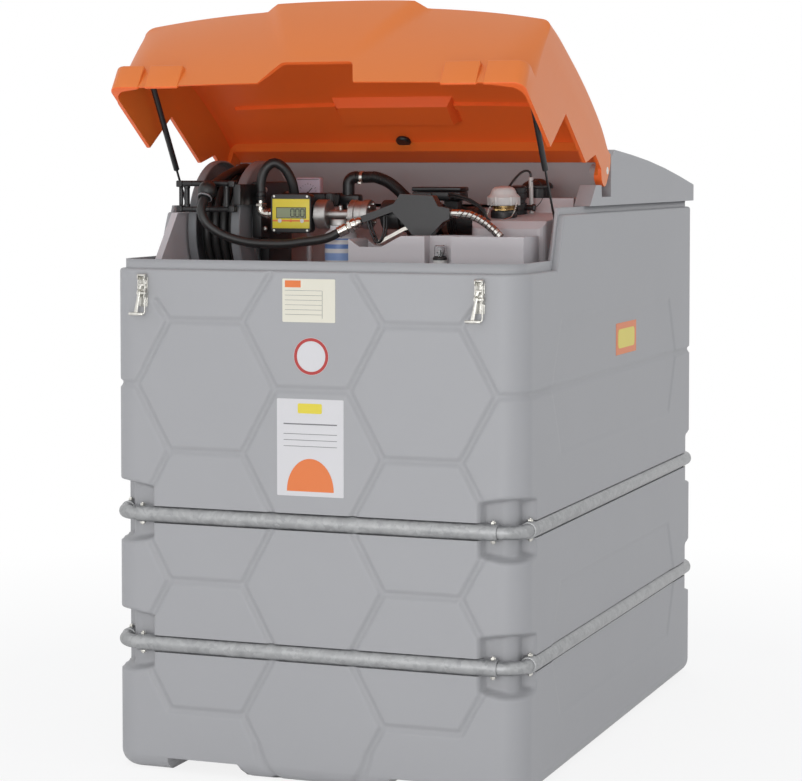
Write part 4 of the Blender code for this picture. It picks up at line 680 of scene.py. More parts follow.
def smooth_route(points, spacing):
    """Reads evenly spaced points from the smooth curve through the given ones."""
    knots = [Vector(p) for p in points]
    knots = [2 * knots[0] - knots[1]] + knots + [2 * knots[-1] - knots[-2]]
    fine = [knots[1]]
    for a, b, c, d in zip(knots, knots[1:], knots[2:], knots[3:]):
        for step in range(1, 21):
            t = step / 20
            fine.append(0.5 * (2 * b + (c - a) * t + (2 * a - 5 * b + 4 * c - d) * t ** 2 + (3 * b - a
                - 3 * c + d) * t ** 3))
    total = sum((q - p).length for p, q in zip(fine, fine[1:]))
    count = max(4, round(total / spacing))
    picked = [fine[0]]
    gone = 0.0
    for p, q in zip(fine, fine[1:]):
        gone += (q - p).length
        if gone >= total / count * len(picked) - 1e-9 and len(picked) < count:
            picked.append(q)
    return picked + [fine[-1]]


def tube(name, points, radius, look, body="shell", resolution=6):
    """A round bar along a route: one open spline with a bevel."""
    line = bpy.data.curves.new(name, "CURVE")
    line.dimensions = "3D"
    line.bevel_depth = radius
    line.bevel_resolution = resolution
    line.use_fill_caps = True
    spline = line.splines.new("POLY")
    spline.points.add(len(points) - 1)
    for spot, point in zip(spline.points, points):
        spot.co = (*point, 1.0)
    spline.use_smooth = True
    line.materials.append(M[look])
    thing = bpy.data.objects.new(name, line)
    bpy.context.collection.objects.link(thing)
    if body:
        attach(thing, body)
    return thing


def tube_shape(points, radius, resolution=6):
    """The mesh of such a bar."""
    thing = tube("bar", points, radius, "zinc", None, resolution)
    bpy.context.view_layer.update()
    mesh = bpy.data.meshes.new_from_object(thing.evaluated_get(bpy.context.evaluated_depsgraph_get()))
    shape = bmesh.new()
    shape.from_mesh(mesh)
    bmesh.ops.remove_doubles(shape, verts=shape.verts, dist=1e-6)
    bmesh.ops.recalc_face_normals(shape, faces=shape.faces)
    line = thing.data
    bpy.data.objects.remove(thing, do_unlink=True)
    bpy.data.curves.remove(line)
    bpy.data.meshes.remove(mesh)
    for face in shape.faces:
        face.material_index = 0
    return shape


def arc(centre, radius, start, end, steps):
    """Points of a circular arc in two dimensions, angles in degrees."""
    angles = (math.radians(start + (end - start) * i / steps) for i in range(steps + 1))
    return [(centre[0] + radius * math.cos(a), centre[1] + radius * math.sin(a)) for a in angles]


def cut_and_joined(name, base, steps, look, body):
    """Applies Booleans to a shape one after another and makes the piece."""
    thing = piece(name, base, look, None)
    for kind, shape in steps:
        other = piece("cutter", shape, look, None)
        step = thing.modifiers.new(kind, "BOOLEAN")
        step.operation = kind
        step.solver = "EXACT"
        step.object = other
        bpy.context.view_layer.update()
        made = bpy.data.meshes.new_from_object(thing.evaluated_get(bpy.context.evaluated_depsgraph_get()))
        thing.modifiers.clear()
        old = thing.data
        thing.data = made
        bpy.data.meshes.remove(old)
        waste = other.data
        bpy.data.objects.remove(other, do_unlink=True)
        bpy.data.meshes.remove(waste)
    thing.data.name = name
    thing.data.shade_smooth()
    thing.data.set_sharp_from_angle(angle=math.radians(32))
    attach(thing, body)
    return thing


def lerp(a, b, share):
    return a + (b - a) * share


def soft_step(t):
    t = np.clip(t, 0.0, 1.0)
    return t * t * (3 - 2 * t)


FLAT_X = HALF_W - CORNER_R
FLAT_Y = 2 * (HALF_D - CORNER_R)
TURN = CORNER_R * math.pi / 2
SIDE_FROM = FLAT_X + TURN
SIDE_TO = SIDE_FROM + FLAT_Y
ROUND = SIDE_TO + TURN + FLAT_X


def hex_row(row):
    return HEX_TOP_ROW - row * HEX_HEIGHT


def groove_lines():
    """The honeycomb's lines on the front and back walls, as pairs of (x, z) ends."""
    v1, e1, e2, v2 = [x - HALF_W for x in HEX_COLUMNS]
    lines = []
    for side in (1, -1):
        for row in (0, 1, 2, 3):
            lines.append(((side * e1, hex_row(row)), (side * e2, hex_row(row))))
            lines.append(((side * e2, hex_row(row)), (side * v2, hex_row(row + 0.5))))
            if row < 3:
                lines.append(((side * e1, hex_row(row)), (side * v1, hex_row(row + 0.5))))
                lines.append(((side * v1, hex_row(row + 0.5)), (side * e1, hex_row(row + 1))))
                lines.append(((side * v2, hex_row(row + 0.5)), (side * e2, hex_row(row + 1))))
        lines.append(((side * e2, hex_row(0)), (side * (v2 - 0.014), hex_row(-0.36))))
        lines.append(((side * e1, hex_row(0)), (side * (v1 + 0.058), hex_row(-0.14))))
        lines.append(((side * v1, hex_row(RING_ROW)), (side * -(HALF_W + 0.1), hex_row(RING_ROW))))
    for row in (0.5, 1.5, 2.5):
        lines.append(((v2, hex_row(row)), (-v2, hex_row(row))))
    return lines


def plan_place(s):
    """Point and outward direction on the wall's plan, s metres round from the middle of the front."""
    side = 1 if s >= 0 else -1
    s = abs(s)
    if s <= FLAT_X:
        spot = (s, -HALF_D, 0, -1)
    elif s <= SIDE_FROM:
        t = (s - FLAT_X) / CORNER_R
        spot = (FLAT_X + CORNER_R * math.sin(t), -HALF_D + CORNER_R - CORNER_R * math.cos(t),
            math.sin(t), -math.cos(t))
    elif s <= SIDE_TO:
        spot = (HALF_W, -HALF_D + CORNER_R + s - SIDE_FROM, 1, 0)
    elif s <= SIDE_TO + TURN:
        t = (s - SIDE_TO) / CORNER_R
        spot = (FLAT_X + CORNER_R * math.cos(t), HALF_D - CORNER_R + CORNER_R * math.sin(t), math.cos(t),
            math.sin(t))
    else:
        spot = (ROUND - s, HALF_D, 0, 1)
    return (side * spot[0], spot[1], side * spot[2], spot[3])


def wall_depth(s, z):
    """How far the wall stands in at each place: grooves, channels, corner pockets and side panels."""
    s = np.abs(s)
    across = np.where(s < ROUND / 2, s, ROUND - s)
    near = np.full(s.shape, 1.0)
    for (x0, z0), (x1, z1) in groove_lines():
        if x0 + x1 < -1e-6:
            continue
        dx, dz = x1 - x0, z1 - z0
        for flip in (1, -1):
            px = flip * across
            t = np.clip(((px - x0) * dx + (z - z0) * dz) / (dx * dx + dz * dz), 0, 1)
            near = np.minimum(near, np.hypot(px - x0 - t * dx, z - z0 - t * dz))
    beyond = across > FLAT_X
    near = np.where(beyond, np.abs(z - hex_row(RING_ROW)), near)
    depth = GROOVE_DEPTH * (1 - soft_step((near - GROOVE_FLAT) / (GROOVE_REACH - GROOVE_FLAT)))
    along = np.abs(s - (SIDE_FROM + SIDE_TO) / 2)
    on_side = (s > SIDE_FROM) & (s < SIDE_TO)
    for row in SIDE_PANEL_ROWS:
        rise = np.abs(z - hex_row(row))
        half = HEX_HEIGHT / 2
        point = (SIDE_PANEL_REACH - SIDE_PANEL_POINT * rise / half - along) * 0.9
        inside = np.minimum(half - rise, point)
        panel = SIDE_PANEL_STEP * soft_step((inside + 0.005) / 0.010)
        depth = np.where(on_side, np.maximum(depth, panel), depth)
    to_front = np.abs(s - FLAT_X - TURN / 2)
    to_back = np.abs(s - SIDE_TO - TURN / 2)
    front_reach = np.where(s < FLAT_X + TURN / 2, 0.108, 0.092)
    back_reach = np.where(s > SIDE_TO + TURN / 2, 0.108, 0.092)
    pull = np.minimum(to_front / front_reach, to_back / back_reach)
    for row in BELT_ROWS:
        rise = z - hex_row(row)
        flat = (s < FLAT_X) | on_side | (s > SIDE_TO + TURN)
        channel = TUBE_SINK + np.sqrt(np.maximum(CHANNEL_R ** 2 - rise ** 2, 0))
        depth = np.where(flat & (np.abs(rise) <= CHANNEL_R), np.maximum(depth, channel), depth)
        limit = np.where(rise > 0, 0.089, 0.079) - 0.014 * pull ** 2
        inside = np.minimum(limit - np.abs(rise), (1 - pull) * 0.098)
        pocket = POCKET_DEPTH * soft_step((inside + 0.002) / 0.014)
        depth = np.maximum(depth, pocket)
    return depth


def rim_height(y):
    """Height of the wall's top edge: low at the front, raised behind the step."""
    share = np.clip((y - STEP_FRONT_Y) / (STEP_BACK_Y - STEP_FRONT_Y), 0, 1)
    return FRONT_RIM_Z + (REAR_RIM_Z - FRONT_RIM_Z) * (0.75 * share + 0.25 * soft_step(share))


def skin_rows():
    """Heights of the skin's rows below the rim, closer together at the belts and the foot."""
    wanted = [0.0, 0.0006, 0.0022, FORK_HEIGHT]
    for row in BELT_ROWS:
        for step in (0, 0.005, 0.010, 0.0155, 0.0195, 0.0218, 0.0226, 0.0231, 0.0245, 0.0275):
            wanted += [hex_row(row) + step, hex_row(row) - step]
    rows = sorted(set(wanted))
    for i in range(int(STRETCH_FROM / ROW_STEP) + 1):
        z = i * ROW_STEP
        if min(abs(z - w) for w in wanted) > 0.0026:
            rows.append(z)
    return sorted(set(rows))


def skin_columns(low, high, step, wanted):
    """Places round the wall for the skin's columns between two limits."""
    fixed = [w for w in wanted if low < w < high]
    places = [low, high] + fixed
    count = int(round((high - low) / step))
    for i in range(1, count):
        s = low + (high - low) * i / count
        if all(abs(s - w) > step * 0.45 for w in fixed):
            places.append(s)
    return sorted(places)


def wall_panel(columns):
    """A grid bent round the plan and pressed in by the wall's depth."""
    rows = skin_rows()
    shoulder = [math.radians(a) for a in (0, 22, 45, 68, 90)]
    rise_count = 8
    total = len(rows) + rise_count + len(shoulder) + 1
    shape = bmesh.new()
    bmesh.ops.create_grid(shape, x_segments=len(columns) - 1, y_segments=total - 1, size=1)
    mesh = bpy.data.meshes.new("bund_skin")
    shape.to_mesh(mesh)
    shape.free()
    flat = np.empty(len(mesh.vertices) * 3)
    mesh.vertices.foreach_get("co", flat)
    flat = flat.reshape(-1, 3)
    column = np.rint((flat[:, 0] + 1) / 2 * (len(columns) - 1)).astype(int)
    level = np.rint((flat[:, 1] + 1) / 2 * (total - 1)).astype(int)
    s = np.array(columns)[column]
    plan = np.array([plan_place(v) for v in columns])[column]
    top = rim_height(plan[:, 1])
    z = np.empty(len(s))
    inset = np.zeros(len(s))
    heights = np.array(rows)
    low = level < len(rows)
    z[low] = heights[level[low]]
    start = heights[-1]
    climb = (level >= len(rows)) & (level < len(rows) + rise_count)
    share = (level[climb] - len(rows) + 1) / (rise_count + 1)
    z[climb] = start + (top[climb] - SHOULDER_R - start) * share
    for i, angle in enumerate(shoulder):
        here = level == len(rows) + rise_count + i
        z[here] = top[here] - SHOULDER_R + SHOULDER_R * math.sin(angle)
        inset[here] = SHOULDER_R * (1 - math.cos(angle))
    last = level == total - 1
    z[last] = top[last]
    inset[last] = LIP_INSET
    foot = FOOT_R - np.sqrt(np.maximum(FOOT_R ** 2 - np.maximum(FOOT_R - z, 0) ** 2, 0))
    slot = np.where(np.abs(s) < ROUND / 2, s, np.sign(s) * (ROUND - np.abs(s)))
    lean = FORK_SLOPE * np.where(z < FORK_HEIGHT, z / FORK_HEIGHT,
        np.maximum(0, 1 - (z - FORK_HEIGHT) / 0.06))
    off = np.abs(slot) - FORK_INNER_X
    weight = np.where(off < 0, np.maximum(0, 1 + off / 0.08), np.maximum(0, 1 - off / 0.20))
    shift = lean * weight * (np.abs(slot) < FLAT_X)
    depth = wall_depth(s, z) + inset + foot
    x = plan[:, 0] - plan[:, 2] * depth + np.sign(slot) * shift * np.abs(plan[:, 3])
    y = plan[:, 1] - plan[:, 3] * depth
    mesh.vertices.foreach_set("co", np.stack([x, y, z], axis=1).ravel())
    shape = bmesh.new()
    shape.from_mesh(mesh)
    bpy.data.meshes.remove(mesh)
    shape.verts.ensure_lookup_table()
    slot_row = rows.index(FORK_HEIGHT)
    gone = []
    for face in shape.faces:
        corners = [v.index for v in face.verts]
        if max(level[i] for i in corners) <= slot_row:
            middle = sum(abs(slot[i]) for i in corners) / 4
            if FORK_INNER_X < middle < FORK_OUTER_X:
                gone.append(face)
    bmesh.ops.delete(shape, geom=gone, context="FACES")
    middle = columns[len(columns) // 2]
    mx, my, nx, ny = plan_place(middle)
    facing = sum(f.normal.x * nx + f.normal.y * ny for f in list(shape.faces)[::37])
    if facing < 0:
        bmesh.ops.reverse_faces(shape, faces=shape.faces)
    return shape


def inside_of_shell():
    """A merged copy of the plain shell without its outer walls, which the fine skin stands for."""
    shape = bmesh.new()
    shape.from_mesh(NODES["bund_shell"].data)
    bmesh.ops.remove_doubles(shape, verts=shape.verts, dist=1e-5)
    gone = []
    for face in shape.faces:
        insets = [plan_inset(v.co) for v in face.verts]
        middle = face.calc_center_median()
        reach = plan_inset(middle)
        if max(insets) > 0.0372 or reach > 0.0372:
            continue
        out = plan_outward(middle)
        if face.normal.dot(out) < -0.1 or (face.normal.z < -0.9 and middle.z < 0.001):
            continue
        if middle.z > rim_height(np.array([middle.y]))[0] - 0.010 and reach > 0.0158:
            continue
        gone.append(face)
    bmesh.ops.delete(shape, geom=gone, context="FACES")
    return shape


def plan_inset(spot):
    """How far inside the wall's plan a point stands."""
    dx = abs(spot.x) - FLAT_X
    dy = abs(spot.y) - (HALF_D - CORNER_R)
    if dx > 0 and dy > 0:
        return CORNER_R - math.hypot(dx, dy)
    return min(HALF_W - abs(spot.x), HALF_D - abs(spot.y))


def plan_outward(spot):
    dx = abs(spot.x) - FLAT_X
    dy = abs(spot.y) - (HALF_D - CORNER_R)
    if dx > 0 and dy > 0:
        way = Vector((math.copysign(dx, spot.x), math.copysign(dy, spot.y), 0))
        return way.normalized()
    if HALF_W - abs(spot.x) < HALF_D - abs(spot.y):
        return Vector((math.copysign(1, spot.x), 0, 0))
    return Vector((0, math.copysign(1, spot.y), 0))


def shell():
    """The moulded bund: its inside from the model, its walls as a fine skin."""
    split = SIDE_FROM + PANEL_SPLIT
    back = SIDE_TO - PANEL_SPLIT
    turns = [side * s for side in (1, -1) for s in (FLAT_X, SIDE_FROM, SIDE_TO, SIDE_TO + TURN)]
    slots = [side * s for side in (1, -1) for s in (FORK_INNER_X, FORK_OUTER_X)]
    rear_slots = [side * (ROUND - x) for side in (1, -1) for x in (FORK_INNER_X, FORK_OUTER_X)]
    front_cols = skin_columns(-split, split, COLUMN_STEP, turns + slots)
    back_right = skin_columns(back, ROUND, 0.0062, turns + rear_slots)
    steps = (SIDE_FROM + HALF_D - CORNER_R + STEP_FRONT_Y, SIDE_FROM + HALF_D - CORNER_R + STEP_BACK_Y)
    middle = (SIDE_FROM + SIDE_TO) / 2
    side_cols = skin_columns(split, middle - 0.46, 0.0065, steps) + skin_columns(middle - 0.46,
        middle + 0.46, 0.023, ())[1:]
    side_cols += skin_columns(middle + 0.46, back, 0.0065, ())[1:]
    inside = piece("bund_inside", inside_of_shell(), "shell")
    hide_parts("bund_shell")
    panels = (("bund_wall_front", front_cols), ("bund_wall_right", side_cols),
        ("bund_wall_left", [-s for s in side_cols[::-1]]), ("bund_wall_back_right", back_right),
        ("bund_wall_back_left", [-s for s in back_right[::-1]]),)
    for name, columns in panels:
        piece(name, wall_panel(columns), "shell", sharp=80)


def lid_edge(x):
    """Height of the closed lid's front lower edge, which arches up in the middle."""
    return LID_EDGE_Z + LID_ARCH * (1 - (x / HALF_W) ** 2)


def crown_line():
    """The crown's stations, read closer together along a smooth curve."""
    return [tuple(p) for p in smooth_route(LID_CROWN, 0.020)]


CROWN = crown_line()


def lid_top(x, station, half):
    """A point (y, z) of the crown: highest in the middle, rounded over at the sides."""
    y, middle, side = station
    over = max(0.0, abs(x) - half + LID_SIDE_R)
    drop = LID_SIDE_R - math.sqrt(max(0.0, LID_SIDE_R ** 2 - over ** 2))
    return (y, lerp(middle, side, (abs(x) / half) ** 2.3) - drop)


def lid_face(x, share, half, corner=(0.080, 0.085)):
    """A point (y, z) of the bulged front face, from its lower edge up to the crest."""
    crest_y, crest_z = lid_top(x, CROWN[0], half)
    sweep = (crest_y - LID_FRONT_Y - LID_FACE_SET) * (0.45 * share + 0.55 * share ** 2)
    depth, reach = corner
    over = min(1.0, max(0.0, (abs(x) - half + reach) / reach))
    pull = depth * (1 - share) ** 0.8 * (1 - math.sqrt(1 - over ** 2))
    return (LID_FRONT_Y + LID_FACE_SET + sweep + pull, lerp(lid_edge(x), crest_z, share))


def pad_rise(x, way):
    """Height of the raised middle; way runs 0 at its foot, 1 at the crest, 2 and 3 on the crown."""
    if not 0 < way < 3:
        return 0.0
    i = int(way)
    t = way - i
    half = lerp(PAD_HALF[i], PAD_HALF[i + 1], t)
    proud = lerp(PAD_PROUD[i], PAD_PROUD[i + 1], t)
    return proud * float(soft_step((half + 0.004 - abs(x)) / PAD_SHOULDER))


def lid_outline(x):
    """The closed lid's outline (y, z) at one place across it."""
    edge = lid_edge(x)
    seat = REAR_RIM_Z + LID_GAP + 0.007
    shelf = COVER_SLOPE_Z + LID_GAP + 0.002
    lean_from = Vector((HINGE_Y - 0.30, HINGE_Z - 0.10))
    face = []
    for i in range(22):
        share = i / 22
        spot = Vector(lid_face(x, share, HALF_W))
        rise = pad_rise(x, (share - PAD_FOOT_SHARE) / (1 - PAD_FOOT_SHARE))
        face.append(tuple(spot + (spot - lean_from).normalized() * rise))
    lower = [(STEP_FRONT_Y - LID_GAP, edge), (STEP_BACK_Y - LID_GAP, seat),
        (COVER_FRONT_Y - 0.018, seat), (COVER_FRONT_Y + 0.048, shelf), (COVER_FRONT_Y + 0.117, shelf),]
    tail = [(HINGE_Y + dy, HINGE_Z + dz) for dy, dz in (tuple(p)[:2] for p in smooth_route([(*t,
        0) for t in LID_TAIL], 0.012))]
    crown = []
    marks = (CROWN[0][0], LID_CROWN[2][0], LID_CROWN[4][0])
    for station in CROWN:
        spot = Vector(lid_top(x, station, HALF_W))
        y = station[0]
        step = 0 if y < marks[1] else 1
        way = 1 + step + (y - marks[step]) / (marks[step + 1] - marks[step])
        crown.append(tuple(spot + (spot - lean_from).normalized() * pad_rise(x, way)))
    return face[:1] + lower + tail + crown[::-1] + face[:0:-1]


def lid_hollow(x):
    """The outline of the space inside the lid at one place across it."""
    half = HALF_W - LID_WALL
    face = [lid_face(x, share / 8, half, (0.055, 0.065)) for share in range(8)]
    crown = [lid_top(x, station, half) for station in CROWN[::3]]
    front = [(y + LID_WALL - (SEAT_RELIEF if z < SEAT_RELIEF_TOP else 0), z - 0.003) for y, z in face]
    over = [(y + 0.004, z - LID_WALL) for y, z in crown[:-1]]
    return [(front[0][0], 1.20), (LID_BACK_Y, 1.20),
        (LID_BACK_Y, crown[-1][1] - LID_WALL)] + over[::-1] + front[::-1]


def loft(sections):
    """Skins equal outlines (y, z), each standing at its own x, and closes both ends."""
    shape = bmesh.new()
    rings = [[shape.verts.new((x, y, z)) for y, z in outline] for x, outline in sections]
    for a, b in zip(rings, rings[1:]):
        for i in range(len(a)):
            j = (i + 1) % len(a)
            shape.faces.new((a[i], a[j], b[j], b[i]))
    shape.faces.new(rings[0])
    shape.faces.new(rings[-1])
    bmesh.ops.recalc_face_normals(shape, faces=shape.faces)
    return shape


def across(half, spacing):
    """Places across the lid, closer together towards its rounded ends."""
    places = {round(half - LID_SIDE_R * (1 - math.sin(math.radians(a))), 6) for a in (0, 20, 40, 55, 68,
        80, 90)}
    count = int((half - LID_SIDE_R) / spacing)
    places |= {round((half - LID_SIDE_R) * i / count, 6) for i in range(count)}
    return sorted(places | {-x for x in places})


def latch_blocks(sign, latch_x):
    """The two upright blocks beside a latch slot, the outer one round the corner."""
    top = LID_EDGE_Z + BLOCK_HEIGHT
    slot = LATCH_SLOT / 2
    back = LID_FRONT_Y + 0.035
    side = HALF_W - 0.0003
    near = sign * latch_x - slot
    inner = ((near, LID_FRONT_Y), (near, back), (near - BLOCK_WIDTH, back),
        (near - BLOCK_WIDTH + 0.004, LID_FRONT_Y))
    far = sign * latch_x + slot
    radius = 0.030
    outer = [(far, back), (far, LID_FRONT_Y)]
    outer += arc((side - radius, LID_FRONT_Y + radius), radius, -90, 0, 9)
    outer += [(side, LID_FRONT_Y + 0.110), (side - 0.030, LID_FRONT_Y + 0.110), (side - 0.030, back)]
    for outline in (inner, outer):
        yield prism([(sign * a, b) for a, b in outline], "Z", LID_EDGE_Z, top, 0.0035, 3)


def opened(shape):
    """Turns a shape of the closed lid to where the open lid stands."""
    pivot = Vector((0, HINGE_Y, HINGE_Z))
    turn = Matrix.Translation(pivot) @ Matrix.Rotation(-LID_OPEN, 4, "X") @ Matrix.Translation(-pivot)
    bmesh.ops.transform(shape, matrix=turn, verts=shape.verts)
    return shape


def lid():
    """The orange lid: crowned shell with its raised middle, latch blocks and grip notch."""
    steps = []
    for sign, latch_x in ((-1, LATCH_X[0]), (1, LATCH_X[1])):
        for shape in latch_blocks(sign, latch_x):
            steps.append(("UNION", shape))
    steps.append(("DIFFERENCE", loft([(x, lid_hollow(x)) for x in across(HALF_W - LID_WALL, 0.06)])))
    grip = ((GRIP_LOW_X[0], 1.30), (GRIP_LOW_X[1], 1.30), (GRIP_LOW_X[1], LID_EDGE_Z),
        (GRIP_TOP_X[1], GRIP_TOP_Z), (GRIP_TOP_X[0], GRIP_TOP_Z), (GRIP_LOW_X[0], LID_EDGE_Z))
    steps.append(("DIFFERENCE", prism(grip, "Y", LID_FRONT_Y - 0.02, LID_FRONT_Y + 0.06, 0.012, 4)))
    gap_x = HALF_W - EAR_THICKNESS
    steps.append(("DIFFERENCE", block((-gap_x, LID_BACK_Y - 0.0005, 1.50),
        (gap_x, HINGE_Y + 0.089, HINGE_Z + 0.037))))
    steps.append(("DIFFERENCE", rod((-gap_x, HINGE_Y, HINGE_Z), (gap_x, HINGE_Y, HINGE_Z),
        KNUCKLE_R + 0.014, 32)))
    for sign in (1, -1):
        ends = sorted((sign * (gap_x - 0.01), sign * (HALF_W + 0.01)))
        steps.append(("DIFFERENCE", rod((ends[0], HINGE_Y, HINGE_Z), (ends[1], HINGE_Y, HINGE_Z), 0.0085,
            24)))
        steps.append(("UNION", rod((sign * (HALF_W - 0.004), -0.785, 1.476),
            (sign * 0.5458, -0.785, 1.476), 0.009, 24)))
    body = loft([(x, lid_outline(x)) for x in across(HALF_W, 0.016)])
    cover = cut_and_joined("lid_skin", body, steps, "lid", "lid")
    shape = bmesh.new()
    shape.from_mesh(cover.data)
    opened(shape)
    shape.to_mesh(cover.data)
    shape.free()
    # The second material, the brighter underside orange, goes on the faces that look down: painted light on
    # the open lid's underside.
    cover.data.materials.append(M["lid_underside_painted_light"])
    for face in cover.data.polygons:
        face.material_index = 1 if face.normal.z < -0.10 and face.center.z > 1.5 else 0
    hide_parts("lid")
    return cover


# Hose reel and guide
REEL_Y = -0.410
REEL_Z = 1.444
REEL_R = 0.190
REEL_LEFT_X = -0.497
REEL_RIGHT_X = -0.339
FLANGE_LIP = 0.026
HUB_R = 0.060
WOUND_R = 0.158
AXLE_R = 0.016
BRACKET_REACH = 0.115
GUIDE_X = (-0.512, -0.336)
GUIDE_Z = (1.492, 1.579)
GUIDE_FRONT_Y = -0.640
GUIDE_BACK_Y = -0.614
BAY_FLOOR_Z = 1.220

# Dispensing hose, the same route as the model's
HOSE_R = 0.0125
BALL_R = 0.026
HOSE_ROUTE = ((-0.4059, -0.6830, 1.5285), (-0.4064, -0.6915, 1.5178), (-0.4069, -0.7021, 1.5045),
    (-0.4015, -0.7050, 1.4830), (-0.3860, -0.7010, 1.4590), (-0.3600, -0.6910, 1.4385),
    (-0.3280, -0.6800, 1.4235), (-0.2850, -0.6690, 1.4120), (-0.2430, -0.6600, 1.4080),
    (-0.1770, -0.6500, 1.4075), (-0.1330, -0.6440, 1.4130), (-0.0940, -0.6370, 1.4180),
    (-0.0625, -0.6276, 1.4253), (-0.0370, -0.6200, 1.4390),)

# Meter, line and pump
LINE_Y = -0.540
LINE_Z = 1.487
METER_X = (-0.250, -0.131)
METER_Z = (1.436, 1.5425)
METER_FRONT_Y = -0.588
METER_BACK_Y = -0.5545
METER_FACE_X = (-0.2440, -0.1340)
METER_FACE_Z = (1.4485, 1.5290)
METER_SCREEN = (-0.2310, -0.1458, 1.4775, 1.5045)
DIGIT_LEFT_X = -0.1890
DIGIT_PITCH = 0.0148
DIGIT_Z = (1.4805, 1.5015)
DIGIT_WIDTH = 0.0100
BUTTON_Z = 1.4694
ELBOW_X = -0.2995
FEED_BASE_Z = 1.524
FEED_R = 0.0135
FLANGES = ((-0.128, -0.094), (-0.028, 0.029))
PUMP_FLANGE_X = 0.067
PUMP_X = (0.100, 0.186)
PUMP_Y = -0.430
PUMP_Z = 1.472
MOTOR_Z = 1.468
MOTOR_END_X = 0.306
TERMINAL_LOW = (0.118, -0.465, 1.5245)
TERMINAL_HIGH = (0.258, -0.395, 1.562)
SUCTION_X = -0.098
SUCTION_Y = -0.390
SUCTION_TOP_Z = 1.588
SUCTION_R = 0.0150
RAIL_CAP_X = -0.1365
RAIL_CAP_Y = -0.430
RAIL_CAP_R = 0.0190
RAIL_CAP_RIBS = 14

# Fill point, nozzle and tray
FILL_X = 0.372
FILL_Y = -0.430
SENSOR_X = 0.381
SENSOR_Y = -0.330
VENT_X = 0.400
VENT_Y = -0.215
NOZZLE_Y = -0.600
GUARD_LINE = ((0.0440, 1.4730), (0.0480, 1.4560), (0.0560, 1.4360), (0.0650, 1.4180), (0.0710, 1.4130),
    (0.0780, 1.4150), (0.0850, 1.4240), (0.0900, 1.4400), (0.0920, 1.4600), (0.0920, 1.4850))
TRAY_FRONT_Y = -0.690
NICHE_MIDDLE_X = 0.273
NICHE_FLOOR_Z = 1.3483


def platform_top(y):
    """Height of the filler platform at a place along the depth."""
    return 1.472 + (1.490 - 1.472) * (y + 0.525) / 0.245


def dispensing_hose():
    """The delivery hose, from the ball at the reel's guide to the nozzle's swivel."""
    route = smooth_route(HOSE_ROUTE, 0.018)
    hose = tube("delivery_hose", route, HOSE_R, "rubber", resolution=8)
    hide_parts("dispensing_hose")
    end = Vector(HOSE_ROUTE[-1])
    run = (end - Vector(HOSE_ROUTE[-2])).normalized()
    start = end + run * 0.0003
    sleeve = ((0.0140, 0), (0.0155, 0.001), (0.0155, 0.004), (0.0146, 0.005), (0.0146, 0.008),
        (0.0155, 0.009), (0.0155, 0.012), (0.0146, 0.013), (0.0146, 0.016), (0.0155, 0.017),
        (0.0155, 0.026), (0.0120, 0.029), (0.0120, 0.032))
    swivel = ((0.0120, 0.041), (0.0165, 0.042), (0.0170, 0.044), (0.0170, 0.054), (0.0160, 0.056),
        (0.0130, 0.057), (0.0130, 0.066), (0.0062, 0.0755))
    fitting = piece("swivel_fitting", merged(lathe(sleeve, start, run, 40),
        nut(start + run * 0.0315, run, 0.032, 0.010), lathe(swivel, start, run, 40)), "nickel")
    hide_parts("hose_fitting")
    length = sum((Vector(b) - Vector(a)).length for a, b in zip(route, route[1:]))
    carried = [fitting] + nozzle()
    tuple(HOSE_ROUTE[0])


def nozzle():
    """Dresses the nozzle's solids, which a cord carries only as CAD, and adds the hand guard."""
    bodies = []
    for name, look, width in (("nozzle_body", "nozzle_black", 0.0050),
            ("nozzle_lever", "nickel", 0.0010), ("nozzle_spout", "guarded_spout", 0.0)):
        obj = dressed(name, look)
        if width:
            soften(obj, width, 28)
        bodies.append(obj)
    y = NOZZLE_Y
    bars = []
    for off in (-0.0105, 0.0105):
        line = [(x, y + off, z) for x, z in GUARD_LINE]
        bars.append(tube_shape(smooth_route(line, 0.004), 0.0029, 4))
    bars.append(rod((0.0590, y - 0.0105, 1.4300), (0.0590, y + 0.0105, 1.4300), 0.0026, 20, 0.0004))
    guard = piece("nozzle_guard", merged(*bars), "black_plastic")
    return bodies + [guard]


